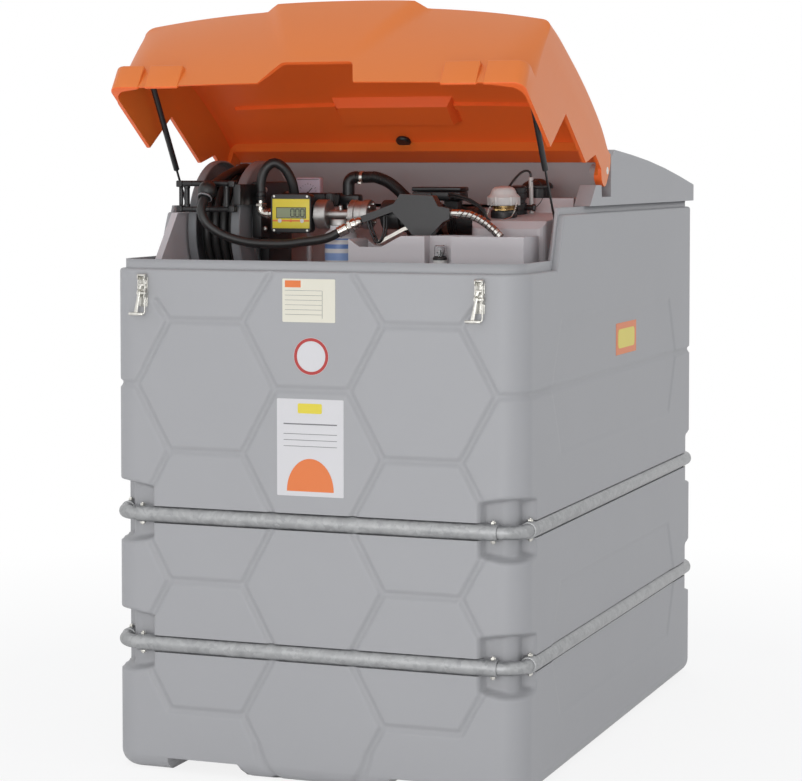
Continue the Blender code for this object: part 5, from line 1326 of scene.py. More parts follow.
def reel():
    """Hose reel: dished flanges, turns of hose and bracket; the roller guide is built by hose_guide."""
    width = REEL_RIGHT_X - REEL_LEFT_X
    r = REEL_R
    web = 0.006
    rim = [(r - 0.0100, 0.0000), (r - 0.0035, 0.0008), (r, 0.0042), (r, FLANGE_LIP - 0.002),
        (r - 0.002, FLANGE_LIP), (r - 0.005, FLANGE_LIP), (r - 0.0065, FLANGE_LIP - 0.002),
        (r - 0.0090, web + 0.003), (r - 0.012, web), (0.120, web), (0.117, web - 0.0015),
        (0.100, web - 0.0015), (0.097, web), (HUB_R, web)]
    face = [(0, 0), (0.040, 0), (0.042, 0), (0.097, 0.0), (0.100, 0.0022), (0.118, 0.0022), (0.121, 0), ]
    profile = face + rim + [(rad, width - h) for rad, h in rim[::-1]] + [(0.121, width),
        (0.118, width - 0.0022), (0.100, width - 0.0022), (0.097, width), (0.050, width),
        (0.046, width + 0.004), (0.030, width + 0.0045), (0.026, width + 0.004),
        (AXLE_R, width + 0.0045), (AXLE_R, width + 0.040), (0, width + 0.040)]
    drum = piece("reel_spool", turned(profile, (REEL_LEFT_X, REEL_Y, REEL_Z), (1, 0, 0), 72),
        "reel_grey", "reel", sharp=30)
    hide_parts("reel_drum")
    turns = [pipe((REEL_LEFT_X + 0.028, REEL_Y, REEL_Z), (REEL_RIGHT_X - 0.028, REEL_Y, REEL_Z),
        WOUND_R - HOSE_R, HUB_R + 0.0003, 48)]
    for i in range(4):
        x = -0.4567 + 0.0258 * i
        ring = [(WOUND_R - HOSE_R + HOSE_R * math.cos(a),
            HOSE_R * math.sin(a)) for a in (k * math.tau / 16 for k in range(16))]
        turns.append(turned(ring, (x, REEL_Y, REEL_Z), (1, 0, 0), 72, ring=True))
    coil = piece("hose_turns", merged(*turns), "rubber", "reel")
    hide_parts("wound_hose")
    over = WOUND_R + HOSE_R
    lead = [(-0.4048, -0.6560, 1.5560), (-0.4048, -0.6200, 1.5690), (-0.4048, -0.5600, 1.5870),
        (-0.4048, -0.5000, 1.6010)]
    for a in (107, 96, 84, 70, 56):
        lead.append((-0.4048, REEL_Y + over * math.cos(math.radians(a)),
            REEL_Z + over * math.sin(math.radians(a))))
    lead.append((-0.4048, REEL_Y + 0.150 * math.cos(math.radians(42)),
        REEL_Z + 0.150 * math.sin(math.radians(42))))
    tube("hose_from_reel", smooth_route(lead, 0.012), HOSE_R, "rubber", resolution=6)
    front = REEL_Y - BRACKET_REACH
    arm = ((front, 1.420), (front, 1.575), (REEL_Y + 0.10, 1.575), (REEL_Y + 0.10, BAY_FLOOR_Z + 0.0003),
        (REEL_Y - 0.06, BAY_FLOOR_Z + 0.0003), (REEL_Y - 0.06, 1.420),)
    left = REEL_RIGHT_X + 0.006
    bracket = cut_and_joined("reel_stand", prism(arm, "X", left, left + 0.028, 0.003, 3),
        [("DIFFERENCE", rod((left - 0.01, REEL_Y, REEL_Z), (left + 0.05, REEL_Y, REEL_Z),
        AXLE_R + 0.0006, 40))], "black_steel", "shell")
    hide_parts("reel_bracket")
    bolts = []
    for y, z in ((front + 0.022, 1.552), (front + 0.022, 1.445), (REEL_Y + 0.060, 1.540),
            (REEL_Y + 0.060, 1.262), (REEL_Y - 0.035, 1.262)):
        bolts.append(nut((left + 0.028, y, z), (1, 0, 0), 0.013, 0.006, 0.002))
    piece("reel_stand_bolts", merged(*bolts), "zinc")


def hose_guide():
    """The roller frame before the reel: corner blocks, cross rollers and upright rollers."""
    x0, x1 = GUIDE_X
    z0, z1 = GUIDE_Z
    front, back = GUIDE_FRONT_Y, GUIDE_BACK_Y
    parts = []
    for x in (x0 + 0.009, x1 - 0.009):
        for z in (z0 + 0.009, z1 - 0.009):
            parts.append(block((x - 0.009, front, z - 0.009), (x + 0.009, back, z + 0.009), 0.003, 3))
            parts.append(rod((x, front - 0.002, z), (x, front + 0.004, z), 0.0045, 20, 0.001))
    for z in (z0, z1 - 0.014):
        parts.append(block((x0 + 0.014, back - 0.009, z + 0.001), (x1 - 0.014, back, z + 0.013), 0.002,
            2))
    for x in (x0, x1 - 0.012):
        parts.append(block((x + 0.001, back - 0.009, z0 + 0.014), (x + 0.011, back, z1 - 0.014), 0.002,
            2))
    middle = (front + back) / 2 - 0.003
    for z in (z0 + 0.008, z1 - 0.008):
        profile = [(0.0050, 0), (0.0078, 0.001)]
        long = (x1 - x0) - 0.036
        for k in range(5):
            a = 0.004 + k * (long - 0.008) / 5
            b = a + (long - 0.008) / 5
            profile += [(0.0080, a + 0.0012), (0.0080, b - 0.0012), (0.0070, b - 0.0008),
                (0.0070, b + 0.0004)]
        profile += [(0.0078, long - 0.001), (0.0050, long)]
        parts.append(lathe(profile, (x0 + 0.018, middle, z), (1, 0, 0), 28))
    arm = (REEL_RIGHT_X + 0.005, REEL_RIGHT_X + 0.020)
    parts.append(block((x1 - 0.004, front + 0.004, z0 + 0.02), (arm[1], back, z1 - 0.01), 0.002, 2))
    parts.append(block((arm[0], back - 0.003, z0 + 0.02), (arm[1], REEL_Y - BRACKET_REACH - 0.0003,
        z1 - 0.01), 0.002, 2))
    guide = piece("guide_frame", merged(*parts), "black_steel")
    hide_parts("roller_frame")
    for side, x in (("left", x0 + 0.028), ("right", x1 - 0.028)):
        y = (front + back) / 2
        low, high = z0 + 0.0143, z1 - 0.0143
        long = high - low
        shape = lathe(((0.0070, 0), (0.0090, 0.0014), (0.0090, 0.007), (0.0078, 0.008),
            (0.0078, long - 0.008), (0.0090, long - 0.007), (0.0090, long - 0.0014), (0.0070, long)),
            (x, y, low), (0, 0, 1), 32)
        roller = piece(f"upright_roller_{side}", shape, "black_plastic", f"guide_roller_{side}")
        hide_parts(f"guide_roller_{side}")
    start = Vector(HOSE_ROUTE[0])
    run = (Vector(HOSE_ROUTE[1]) - start).normalized()
    centre = start - run * 0.0313
    ball = bmesh.new()
    bmesh.ops.create_uvsphere(ball, u_segments=48, v_segments=28, radius=BALL_R)
    bmesh.ops.translate(ball, verts=ball.verts, vec=centre)
    collar = lathe(((0.0165, 0.010), (0.0175, 0.0225), (0.0185, 0.0235), (0.0190, 0.0255),
        (0.0182, 0.0280), (0.0160, 0.0290), (0.0150, 0.0280), (0.0145, 0.0265), (0.0132, 0.0262),
        (0.0132, 0.0308)), centre, run, 40)
    ring = turned(((0.0192, 0.0232), (0.0202, 0.0240), (0.0202, 0.0272), (0.0190, 0.0280)), centre, run,
        40, ring=True)
    piece("hose_stop_ring", ring, "reel_grey")
    stop = piece("hose_stop", merged(ball, collar), "rubber")
    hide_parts("hose_stop_ball")


def meter():
    """The square electronic meter with its yellow face, on a round cast chamber."""
    x0, x1 = METER_X
    z0, z1 = METER_Z
    front = METER_FRONT_Y
    shape = prism(rounded((x0, z0), (x1, z1), 0.012, 6), "Y", front, METER_BACK_Y, 0.0022, 3)
    case = piece("meter_case", merged(shape), "black_plastic")
    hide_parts("meter")
    chamber = ((0.030, 0), (0.0335, 0.002), (0.0335, 0.012), (0.031, 0.013), (0.031, 0.084),
        (0.0335, 0.085), (0.0335, 0.095), (0.030, 0.097))
    cast = [lathe(chamber, (x0 + 0.012, LINE_Y, LINE_Z), (1, 0, 0), 48)]
    for a, b in around(8, 0.027, math.radians(20)):
        cast.append(rod((x1 - 0.0085, LINE_Y + a, LINE_Z + b), (x1 - 0.0050, LINE_Y + a, LINE_Z + b),
            0.003, 12, 0.0008))
    piece("meter_chamber", merged(*cast), "cast_alloy")
    face_x, face_z = METER_FACE_X, METER_FACE_Z
    piece("meter_face", block((face_x[0], front - 0.0012, face_z[0]),
        (face_x[1], front + 0.0010, face_z[1]), 0.0009, 2), "yellow_face")
    piece("meter_stripe", block((face_x[0] + 0.001, front - 0.00155, 1.4672),
        (face_x[1] - 0.001, front - 0.0009, 1.4716), 0.0002, 1), "orange_print")
    lcd = METER_SCREEN
    piece("meter_window", merged(block((lcd[0] - 0.0018, front - 0.0016, lcd[2] - 0.0018),
        (lcd[1] + 0.0018, front - 0.0009, lcd[3] + 0.0018), 0.0003, 1)), "dark_print")
    piece("meter_screen", block((lcd[0], front - 0.0019, lcd[2]), (lcd[1], front - 0.0010, lcd[3]),
        0.0002, 1), "lcd")
    bars = []
    for i in range(3):
        left = DIGIT_LEFT_X + i * DIGIT_PITCH
        low, high = DIGIT_Z
        mid = (low + high) / 2
        wide = DIGIT_WIDTH
        lit = ((left, low), (left, mid), (left + wide, low), (left + wide, mid))
        for x, z in lit:
            bars.append(block((x - 0.0012, front - 0.0024, z + 0.0006),
                (x + 0.0012, front - 0.0018, z + (mid - low) - 0.0008)))
        for z in (low, high):
            bars.append(block((left + 0.0012, front - 0.0024, z - 0.0012),
                (left + wide - 0.0012, front - 0.0018, z + 0.0012)))
    for i in (0, 1):
        x = DIGIT_LEFT_X + i * DIGIT_PITCH + 0.0124
        bars.append(block((x - 0.0007, front - 0.0022, 1.4798), (x + 0.0007, front - 0.0018, 1.4812)))
    piece("meter_digits", merged(*bars), "dark_print")
    buttons = [rod((x, front - 0.0022, BUTTON_Z), (x, front - 0.0008, BUTTON_Z), 0.0058, 28,
        0.0006) for x in (-0.2220, -0.1560)]
    piece("meter_buttons", merged(*buttons), "pale")
    piece("meter_button_middle", merged(rod((DIGIT_LEFT_X, front - 0.0021, BUTTON_Z),
        (DIGIT_LEFT_X, front - 0.0008, BUTTON_Z), 0.0042, 28, 0.0006)), "orange_print")
    screws = []
    for x in (x0 + 0.0105, x1 - 0.0105):
        for z in (z0 + 0.0065, z1 - 0.0065):
            screws.append(rod((x, front - 0.0012, z), (x, front + 0.002, z), 0.0034, 18, 0.0008))
    piece("meter_screws", merged(*screws), "zinc")


def flow_line():
    """Elbow, feed hose, flanged pipe, filter head and can."""
    y, z = LINE_Y, LINE_Z
    x0, x1 = METER_X
    bend = [(x0 + 0.0117, y, z)] + offset((ELBOW_X, y, z), ((0.020, 0, 0), (0.010, 0, 0.001),
        (0.003, 0, 0.005), (0, 0, 0.013))) + [(ELBOW_X, y, FEED_BASE_Z - 0.0003)]
    elbow = merged(tube_shape(smooth_route(bend, 0.004), 0.0125, 8),
        lathe(((0.0138, 0), (0.0150, 0.001), (0.0150, 0.009), (0.0138, 0.010)), (ELBOW_X + 0.018, y, z),
        (1, 0, 0), 36), lathe(((0.0138, 0), (0.0150, 0.001), (0.0150, 0.008), (0.0138, 0.009)),
        (ELBOW_X, y, z + 0.010), (0, 0, 1), 36), nut((ELBOW_X, y, z + 0.020), (0, 0, 1), 0.030, 0.009))
    elbow = piece("nickel_elbow", elbow, "nickel")
    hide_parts("feed_elbow")
    feed = offset((ELBOW_X, y, FEED_BASE_Z), ((0, 0, 0), (0, 0, 0.032), (0, 0, 0.050),
        (0.010, 0.004, 0.084), (0.034, 0.012, 0.104), (0.060, 0.026, 0.088), (0.076, 0.042, 0.050),
        (0.080, 0.052, 0.008), (0.084, 0.064, -0.032), (0.086, 0.092, -0.062)))
    feed.append((ELBOW_X + 0.072, REEL_Y - 0.014, REEL_Z + 0.004))
    feed += offset((REEL_RIGHT_X, REEL_Y, REEL_Z), ((0.090, 0, 0), (0.074, 0, 0), (0.0403, 0, 0)))
    hose = tube("feed_hose_bend", smooth_route(feed, 0.010), FEED_R, "rubber", resolution=8)
    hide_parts("feed_hose")
    ferrule = lathe(((0.0140, 0), (0.0152, 0.001), (0.0152, 0.006), (0.0145, 0.007), (0.0145, 0.010),
        (0.0152, 0.011), (0.0152, 0.022), (0.0138, 0.024)), (ELBOW_X, y, FEED_BASE_Z + 0.0005),
        (0, 0, 1), 36)
    piece("feed_ferrule", ferrule, "black_steel")
    start = x1 - 0.0097
    profile = [(0.0125, 0)]
    for low, high in FLANGES:
        a, b = low - start, high - start
        wide = high - low > 0.04
        profile += [(0.0125, a), (0.0385, a), (0.0400, a + 0.0015)]
        if wide:
            profile += [(0.0400, a + 0.016), (0.0370, a + 0.018), (0.0370, a + 0.0365),
                (0.0400, a + 0.0385)]
        profile += [(0.0400, b - 0.0015), (0.0385, b), (0.0125, b)]
    profile += [(0.0125, PUMP_FLANGE_X - start)]
    parts = [lathe(profile, (start, y, z), (1, 0, 0), 56)]
    for x, side in ((FLANGES[0][0], -1), (FLANGES[1][0], -1), (FLANGES[1][1], 1)):
        for a, b in around(6, 0.030, math.radians(15)):
            parts.append(nut((x, y + a, z + b), (side, 0, 0), 0.0085, 0.0045, 0.001))
    middle_x = (FLANGES[0][1] + FLANGES[1][0]) / 2
    parts.append(rod((middle_x, y, z + 0.010), (middle_x, y, z + 0.0200), 0.0060, 24, 0.001))
    parts.append(nut((middle_x, y, z + 0.0195), (0, 0, 1), 0.0100, 0.004))
    line = piece("flanged_pipe", merged(*parts), "cast_alloy")
    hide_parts("outlet_pipe")
    top = LINE_Z - 0.0128
    head = piece("filter_neck", merged(lathe(((0.0290, 0), (0.0305, 0.001), (0.0305, 0.0145),
        (0.0285, 0.0176)), (middle_x, y, top - 0.0177), (0, 0, 1), 48)), "cast_alloy")
    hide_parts("filter_head")
    base = 1.4565 - 0.1168
    can = ((0.034, 0), (0.040, 0.0015), (0.0435, 0.006), (0.0445, 0.012), (0.0445, 0.088),
        (0.0435, 0.094), (0.040, 0.099), (0.033, 0.1035), (0.030, 0.1050), (0.030, 0.1165))
    can = piece("filter_canister", lathe(can, (middle_x, y, base), (0, 0, 1), 56), "can_bands")
    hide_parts("filter_can")


def pump():
    """Pump body with its cover disc, motor with fins and band, terminal box, suction hose."""
    x0, x1 = PUMP_X
    y, z = PUMP_Y, PUMP_Z
    body = merged(lathe(((0.046, 0), (0.050, 0.002), (0.052, 0.006), (0.052, 0.080), (0.050, 0.084),
        (0.046, 0.086)), (x0, y, z), (1, 0, 0), 48), block((x0 - 0.010, y - 0.034, z - 0.034),
        (x0 + 0.05, y + 0.034, z + 0.050), 0.007, 3), block((x0 + 0.01, y - 0.030, BAY_FLOOR_Z + 0.0003),
        (x1 - 0.01, y + 0.030, z - 0.02), 0.004, 2), rod((PUMP_FLANGE_X + 0.0003, LINE_Y, LINE_Z),
        (PUMP_FLANGE_X + 0.052, LINE_Y, LINE_Z), 0.040, 48, 0.0015),
        block((PUMP_FLANGE_X + 0.022, LINE_Y - 0.02, LINE_Z - 0.031), (x0 + 0.05, y, LINE_Z + 0.029),
        0.007, 3), rod((0.0862, -0.4014, 1.5216), (0.1110, -0.4048, 1.4965), 0.0185, 32, 0.002))
    body = piece("pump_casting", body, "black_iron")
    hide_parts("pump_body")
    disc_x, disc_z = PUMP_FLANGE_X + 0.027, LINE_Z - 0.004
    disc = [lathe(((0.024, 0), (0.026, 0.001), (0.026, 0.004), (0.020, 0.006), (0.010, 0.0066)),
        (disc_x, LINE_Y - 0.0195, disc_z), (0, -1, 0), 48)]
    for a, b in around(6, 0.0195):
        disc.append(rod((disc_x + a, LINE_Y - 0.0225, disc_z + b),
            (disc_x + a, LINE_Y - 0.0262, disc_z + b), 0.0028, 14, 0.0007))
    piece("pump_cover_disc", merged(*disc), "cast_alloy")
    top_disc = [lathe(((0.026, 0), (0.028, 0.001), (0.028, 0.006), (0.026, 0.007)),
        (x0 + 0.004, y, z + 0.0500), (0, 0, 1), 48)]
    for a, b in around(6, 0.022, math.radians(30)):
        top_disc.append(nut((x0 + 0.004 + a, y + b, z + 0.0565), (0, 0, 1), 0.0070, 0.0035))
    piece("pump_top_disc", merged(*top_disc), "cast_alloy")
    long = MOTOR_END_X - x1 - 0.0003
    profile = [(0.034, 0), (0.0385, 0.002), (0.040, 0.005)]
    for i in range(9):
        a = 0.010 + i * 0.0062
        profile += [(0.040, a), (0.0378, a + 0.0012), (0.0378, a + 0.0028), (0.040, a + 0.0040)]
    profile += [(0.040, long - 0.014), (0.0385, long - 0.013), (0.0385, long - 0.004),
        (0.036, long - 0.001), (0.030, long)]
    parts = [lathe(profile, (x1 + 0.0003, y, MOTOR_Z), (1, 0, 0), 56),
        block((x1 + 0.02, y - 0.02, MOTOR_Z), (x1 + 0.06, y + 0.02, TERMINAL_LOW[2] - 0.0003), 0.002, 1)]
    motor = piece("motor_frame", merged(*parts), "black_iron")
    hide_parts("pump_motor")
    band = turned(((0.0402, 0), (0.0408, 0.0006), (0.0408, 0.0154), (0.0402, 0.016)),
        (0.205, y, MOTOR_Z), (1, 0, 0), 56, ring=True)
    piece("motor_band", band, "zinc")
    box = merged(block(TERMINAL_LOW, (TERMINAL_HIGH[0], TERMINAL_HIGH[1], TERMINAL_HIGH[2] - 0.012),
        0.005, 3), block((TERMINAL_LOW[0] - 0.001, TERMINAL_LOW[1] - 0.001, TERMINAL_HIGH[2] - 0.0115),
        (TERMINAL_HIGH[0] + 0.001, TERMINAL_HIGH[1] + 0.001, TERMINAL_HIGH[2]), 0.0035, 3),
        rod((0.236, TERMINAL_LOW[1] - 0.010, 1.537), (0.236, TERMINAL_LOW[1] + 0.004, 1.537), 0.0075, 20,
        0.001), nut((0.236, TERMINAL_LOW[1] - 0.014, 1.537), (0, -1, 0), 0.0130, 0.006),
        block((0.160, TERMINAL_LOW[1] - 0.006, 1.530), (0.176, TERMINAL_LOW[1] + 0.002, 1.546), 0.002, 2))
    box = piece("terminal_housing", box, "black_plastic")
    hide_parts("terminal_box")
    for k, off in enumerate((0.0, 0.0062)):
        route = [(0.236, -0.478, 1.537 + off * 0.4), (0.236, -0.492, 1.537 + off),
            (0.262, -0.503, 1.5345 + off), (0.300, -0.512, 1.5240 + off), (0.330, -0.520, 1.5080 + off),
            (0.348, -0.526, 1.4930 + off), (0.357, -0.528, 1.4790), (0.362, -0.520, 1.4735)]
        tube(f"motor_lead_{k + 1}", smooth_route(route, 0.006), 0.0030, "rubber", resolution=4)
    start = SUCTION_X + 0.0263
    route = offset((start, SUCTION_Y, SUCTION_TOP_Z), ((0, 0, 0), (0.037, 0, 0), (0.054, 0, 0),
        (0.090, -0.002, -0.012), (0.118, -0.006, -0.030), (0.132, -0.008, -0.042),
        (0.158, -0.011, -0.064)))
    fine = smooth_route(route, 0.0052)
    hose = tube("suction_hose_core", fine, SUCTION_R - 0.0004, "rubber", resolution=8)
    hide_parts("suction_hose")
    ribs = []
    for a, b in zip(fine[2:-1], fine[3:]):
        circle = [(SUCTION_R - 0.0004 + 0.0019 * math.cos(t), 0.0015 * math.sin(t)) for t in (0, 1.05,
            2.09, 3.14, 4.19, 5.24)]
        ribs.append(turned(circle, a, b - a, 32, ring=True))
    piece("suction_ribs", merged(*ribs), "rubber")
    at = Vector((start + 0.010, SUCTION_Y, SUCTION_TOP_Z))
    clamp = [turned(((0.0158, 0), (0.0168, 0.0004), (0.0168, 0.0086), (0.0158, 0.009)), at, (1, 0, 0),
        48, ring=True), block((at.x - 0.001, at.y - 0.022, at.z - 0.020),
        (at.x + 0.010, at.y - 0.013, at.z - 0.012), 0.001, 1),
        rod((at.x + 0.0045, at.y - 0.026, at.z - 0.016), (at.x + 0.0045, at.y - 0.012, at.z - 0.016),
        0.0032, 16, 0.0006)]
    piece("suction_clamp", merged(*clamp), "zinc")
    bend = arc((SUCTION_X + 0.022, SUCTION_TOP_Z - 0.022), 0.022, 180, 90, 9)
    route = [(SUCTION_X, BAY_FLOOR_Z + 0.0003), (SUCTION_X, 1.40)] + bend + [(SUCTION_X + 0.026,
        SUCTION_TOP_Z)]
    pipe_up = tube("suction_standpipe", [(x, SUCTION_Y, z) for x, z in route], SUCTION_R + 0.002,
        "black_plastic", resolution=8)
    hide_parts("suction_pipe")
    shelf = [block((-0.296, -0.412, 1.5085), (-0.118, -0.372, 1.5440), 0.006, 3),
        block((-0.122, -0.408, 1.5120), (-0.060, -0.374, 1.5400), 0.006, 3),
        rod((RAIL_CAP_X, RAIL_CAP_Y, 1.5060), (RAIL_CAP_X, RAIL_CAP_Y, 1.5440), RAIL_CAP_R, 40, 0.002)]
    for a, b in around(RAIL_CAP_RIBS, RAIL_CAP_R):
        shelf.append(rod((RAIL_CAP_X + a, RAIL_CAP_Y + b, 1.5110), (RAIL_CAP_X + a, RAIL_CAP_Y + b,
            1.5380), 0.0016, 8))
    piece("bay_rail_box", merged(*shelf), "black_plastic")


def gauge():
    """Level gauge: pale case, dial with marks and needle."""
    x0, x1 = -0.270, -0.196
    y = -0.350
    case = piece("gauge_case", merged(block((x0, y - 0.012, 1.512), (x1, y + 0.012, 1.586), 0.004, 3)),
        "lavender")
    piece("gauge_stem", merged(lathe(((0.0085, 0), (0.0085, 0.286), (0.0100, 0.287), (0.0100, 0.2925)),
        ((x0 + x1) / 2, y, BAY_FLOOR_Z + 0.0003), (0, 0, 1), 24)), "tank")
    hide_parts("level_gauge")
    middle = Vector(((x0 + x1) / 2, y - 0.0122, 1.5430))
    marks = []
    for i in range(13):
        t = math.radians(205 - i * 19.2)
        long = 0.0052 if i % 3 == 0 else 0.0028
        shape = block((-0.0005, -0.0004, 0), (0.0005, 0.0004, long))
        turn = Matrix.Translation(middle + Vector((0.0235 * math.cos(t), 0,
            0.0235 * math.sin(t)))) @ Matrix.Rotation(math.pi / 2 - t, 4, "Y")
        bmesh.ops.transform(shape, matrix=turn, verts=shape.verts)
        marks.append(shape)
    needle = block((-0.0010, -0.0007, -0.006), (0.0010, 0.0, 0.0190))
    bmesh.ops.transform(needle, matrix=Matrix.Translation(middle) @ Matrix.Rotation(math.radians(42), 4,
        "Y"), verts=needle.verts)
    marks.append(needle)
    marks.append(rod(middle + Vector((0, -0.0014, 0)), middle, 0.0036, 20, 0.0004))
    marks.append(block((x0 + 0.0045, y - 0.0125, 1.5800), (x1 - 0.0045, y - 0.0115, 1.5812)))
    piece("gauge_dial_marks", merged(*marks), "dark_print")


def chain(name, points, link=0.0052):
    """A light chain of flat rings along a sagging line."""
    route = smooth_route(points, link * 0.86)
    rings = []
    for i, (a, b) in enumerate(zip(route, route[1:])):
        way = (b - a).normalized()
        side = way.cross(Vector((0, 1, 0))).normalized() if i % 2 else way.cross(Vector((1, 0,
            0))).normalized()
        loop = turned([(0.0018 + 0.0005 * math.cos(t), 0.0005 * math.sin(t)) for t in (0, 1.57, 3.14,
            4.71)], (a + b) / 2, side, 10, ring=True)
        rings.append(loop)
    piece(name, merged(*rings), "nickel")


def fill_point():
    """Filler cap and neck, overfill sensor, white level tube, vent cap and leak glass."""
    up = Vector((0, -0.018 / 0.245, 1)).normalized()
    base = Vector((FILL_X, FILL_Y, platform_top(FILL_Y) + 0.0003))
    neck = piece("filler_ring", lathe(((0.034, 0), (0.036, 0.001), (0.036, 0.014), (0.0355, 0.0165),
        (0.034, 0.020), (0.027, 0.0205), (0.027, 0.034)), base, up, 56), "black_plastic")
    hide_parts("fill_neck")
    brass = []
    for k in range(4):
        brass.append(lathe(((0.0275, 0), (0.0300, 0.0010), (0.0300, 0.0022), (0.0275, 0.0032)),
            base + up * (0.0208 + k * 0.0033), up, 48))
    brass.append(nut(base + up * 0.0205, up, 0.056, 0.006))
    piece("brass_neck", merged(*brass), "brass")
    top = base + up * 0.0343
    cap_parts = [lathe(((0.036, 0), (0.041, 0.002), (0.0425, 0.006), (0.043, 0.012), (0.044, 0.022),
        (0.041, 0.026), (0.036, 0.030), (0.034, 0.036), (0.030, 0.0440), (0.024, 0.0485),
        (0.012, 0.0500)), top, up, 64)]
    for a, b in around(6, 0.0405, 0.3):
        foot = top + Vector((a, b, 0)) - up * 0.001
        cap_parts.append(rod(foot, foot + up * 0.024, 0.0045, 16, 0.0015))
    cap = piece("filler_cap", merged(*cap_parts), "pale")
    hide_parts("fill_cap")
    chain("cap_chain", ((0.4150, -0.4520, 1.5200), (0.4165, -0.4700, 1.5030), (0.4150, -0.4980, 1.4840),
        (0.4080, -0.5260, 1.4780), (0.4020, -0.5330, 1.4770)))
    chain("cap_chain_left", ((0.3560, -0.4720, 1.5230), (0.3480, -0.4900, 1.5020),
        (0.3500, -0.5080, 1.4860), (0.3560, -0.5240, 1.4775)))
    base = Vector((SENSOR_X, SENSOR_Y, platform_top(SENSOR_Y) + 0.0003))
    stack = [lathe(((0.022, 0), (0.024, 0.001), (0.024, 0.010), (0.0225, 0.011), (0.0225, 0.014),
        (0.024, 0.015), (0.024, 0.030), (0.021, 0.032), (0.021, 0.040), (0.0235, 0.041), (0.024, 0.043),
        (0.024, 0.057), (0.022, 0.058), (0.022, 0.062), (0.024, 0.063), (0.024, 0.073), (0.020, 0.078)),
        base, up, 48), rod((SENSOR_X + 0.018, SENSOR_Y, base.z + 0.018),
        (SENSOR_X + 0.048, SENSOR_Y, base.z + 0.018), 0.008, 24, 0.001),
        nut((SENSOR_X + 0.040, SENSOR_Y, base.z + 0.018), (1, 0, 0), 0.0175, 0.009)]
    for a, b in around(10, 0.0235):
        foot = base + Vector((a, b, 0)) + up * 0.045
        stack.append(rod(foot, foot + up * 0.011, 0.0014, 8))
    sensor = piece("sensor_stack", merged(*stack), "black_plastic")
    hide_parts("fill_sensor")
    base = Vector((0.410, SENSOR_Y + 0.028, platform_top(SENSOR_Y + 0.028) + 0.0003))
    white = piece("level_stem", lathe(((0.0060, 0), (0.0060, 0.092), (0.0068, 0.093), (0.0068, 0.099),
        (0.0050, 0.100)), base, up, 28), "pale")
    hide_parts("level_tube")
    tip = base + up * 0.100
    loop = [tip - up * 0.004, tip + Vector((-0.001, 0, 0.010)), tip + Vector((-0.009, -0.004, 0.0175)),
        tip + Vector((-0.024, -0.014, 0.012)), tip + Vector((-0.042, -0.036, -0.014)),
        tip + Vector((-0.052, -0.060, -0.044)), tip + Vector((-0.056, -0.070, -0.075)),
        Vector((0.354, -0.372, platform_top(-0.372) + 0.003))]
    tube("level_lead", smooth_route(loop, 0.006), 0.0033, "rubber", resolution=4)
    thin = [base + up * 0.088 + Vector((0.004, -0.006, 0)), base + Vector((0.022, -0.010, 0.092)),
        base + Vector((0.036, -0.014, 0.068)), base + Vector((0.036, -0.016, 0.040)),
        base + Vector((0.022, -0.018, 0.020)), Vector((SENSOR_X + 0.047, SENSOR_Y - 0.001,
        base.z + 0.016))]
    tube("sensor_wire", smooth_route(thin, 0.006), 0.0011, "rubber", resolution=2)
    base = Vector((VENT_X, VENT_Y, 1.5303))
    vent = [lathe(((0.034, 0), (0.034, 0.025), (0.0435, 0.0262), (0.0445, 0.029), (0.0440, 0.034),
        (0.040, 0.040), (0.030, 0.046), (0.016, 0.052), (0.006, 0.0535)), base, (0, 0, 1), 56)]
    for k in range(14):
        t = k * math.tau / 14
        vent.append(block((-0.0014, 0.0330, 0.001), (0.0014, 0.0368, 0.026)))
        bmesh.ops.transform(vent[-1], matrix=Matrix.Translation(base) @ Matrix.Rotation(t, 4, "Z"),
            verts=vent[-1].verts)
    vent = piece("vent_mushroom", merged(*vent), "black_plastic")
    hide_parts("vent_cap")
    foot = Vector((NICHE_MIDDLE_X, TRAY_FRONT_Y + 0.019, NICHE_FLOOR_Z + 0.0003))
    base_part = piece("leak_base", merged(lathe(((0.0175, 0), (0.0190, 0.001), (0.0190, 0.006),
        (0.0182, 0.0065), (0.0182, 0.0235), (0.0190, 0.024), (0.0190, 0.029), (0.0160, 0.031),
        (0.0160, 0.0330)), foot, (0, 0, 1), 48), lathe(((0.0045, 0.033), (0.0045, 0.040),
        (0.0100, 0.041), (0.0100, 0.0430), (0.0030, 0.044), (0.0030, 0.050)), foot, (0, 0, 1), 32)),
        "black_plastic")
    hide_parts("leak_indicator")
    piece("leak_band", turned(((0.0183, 0.008), (0.0187, 0.0085), (0.0187, 0.0215), (0.0183, 0.022)),
        foot, (0, 0, 1), 48, ring=True), "pale")
    dome = ((0.0150, 0.0325), (0.0150, 0.0560), (0.0142, 0.0595), (0.0118, 0.0620), (0.0000, 0.0625),
        (0.0000, 0.0612), (0.0110, 0.0606), (0.0131, 0.0588), (0.0137, 0.0560), (0.0137, 0.0325))
    piece("leak_dome", turned(dome, foot, (0, 0, 1), 48, ring=True), "clear")


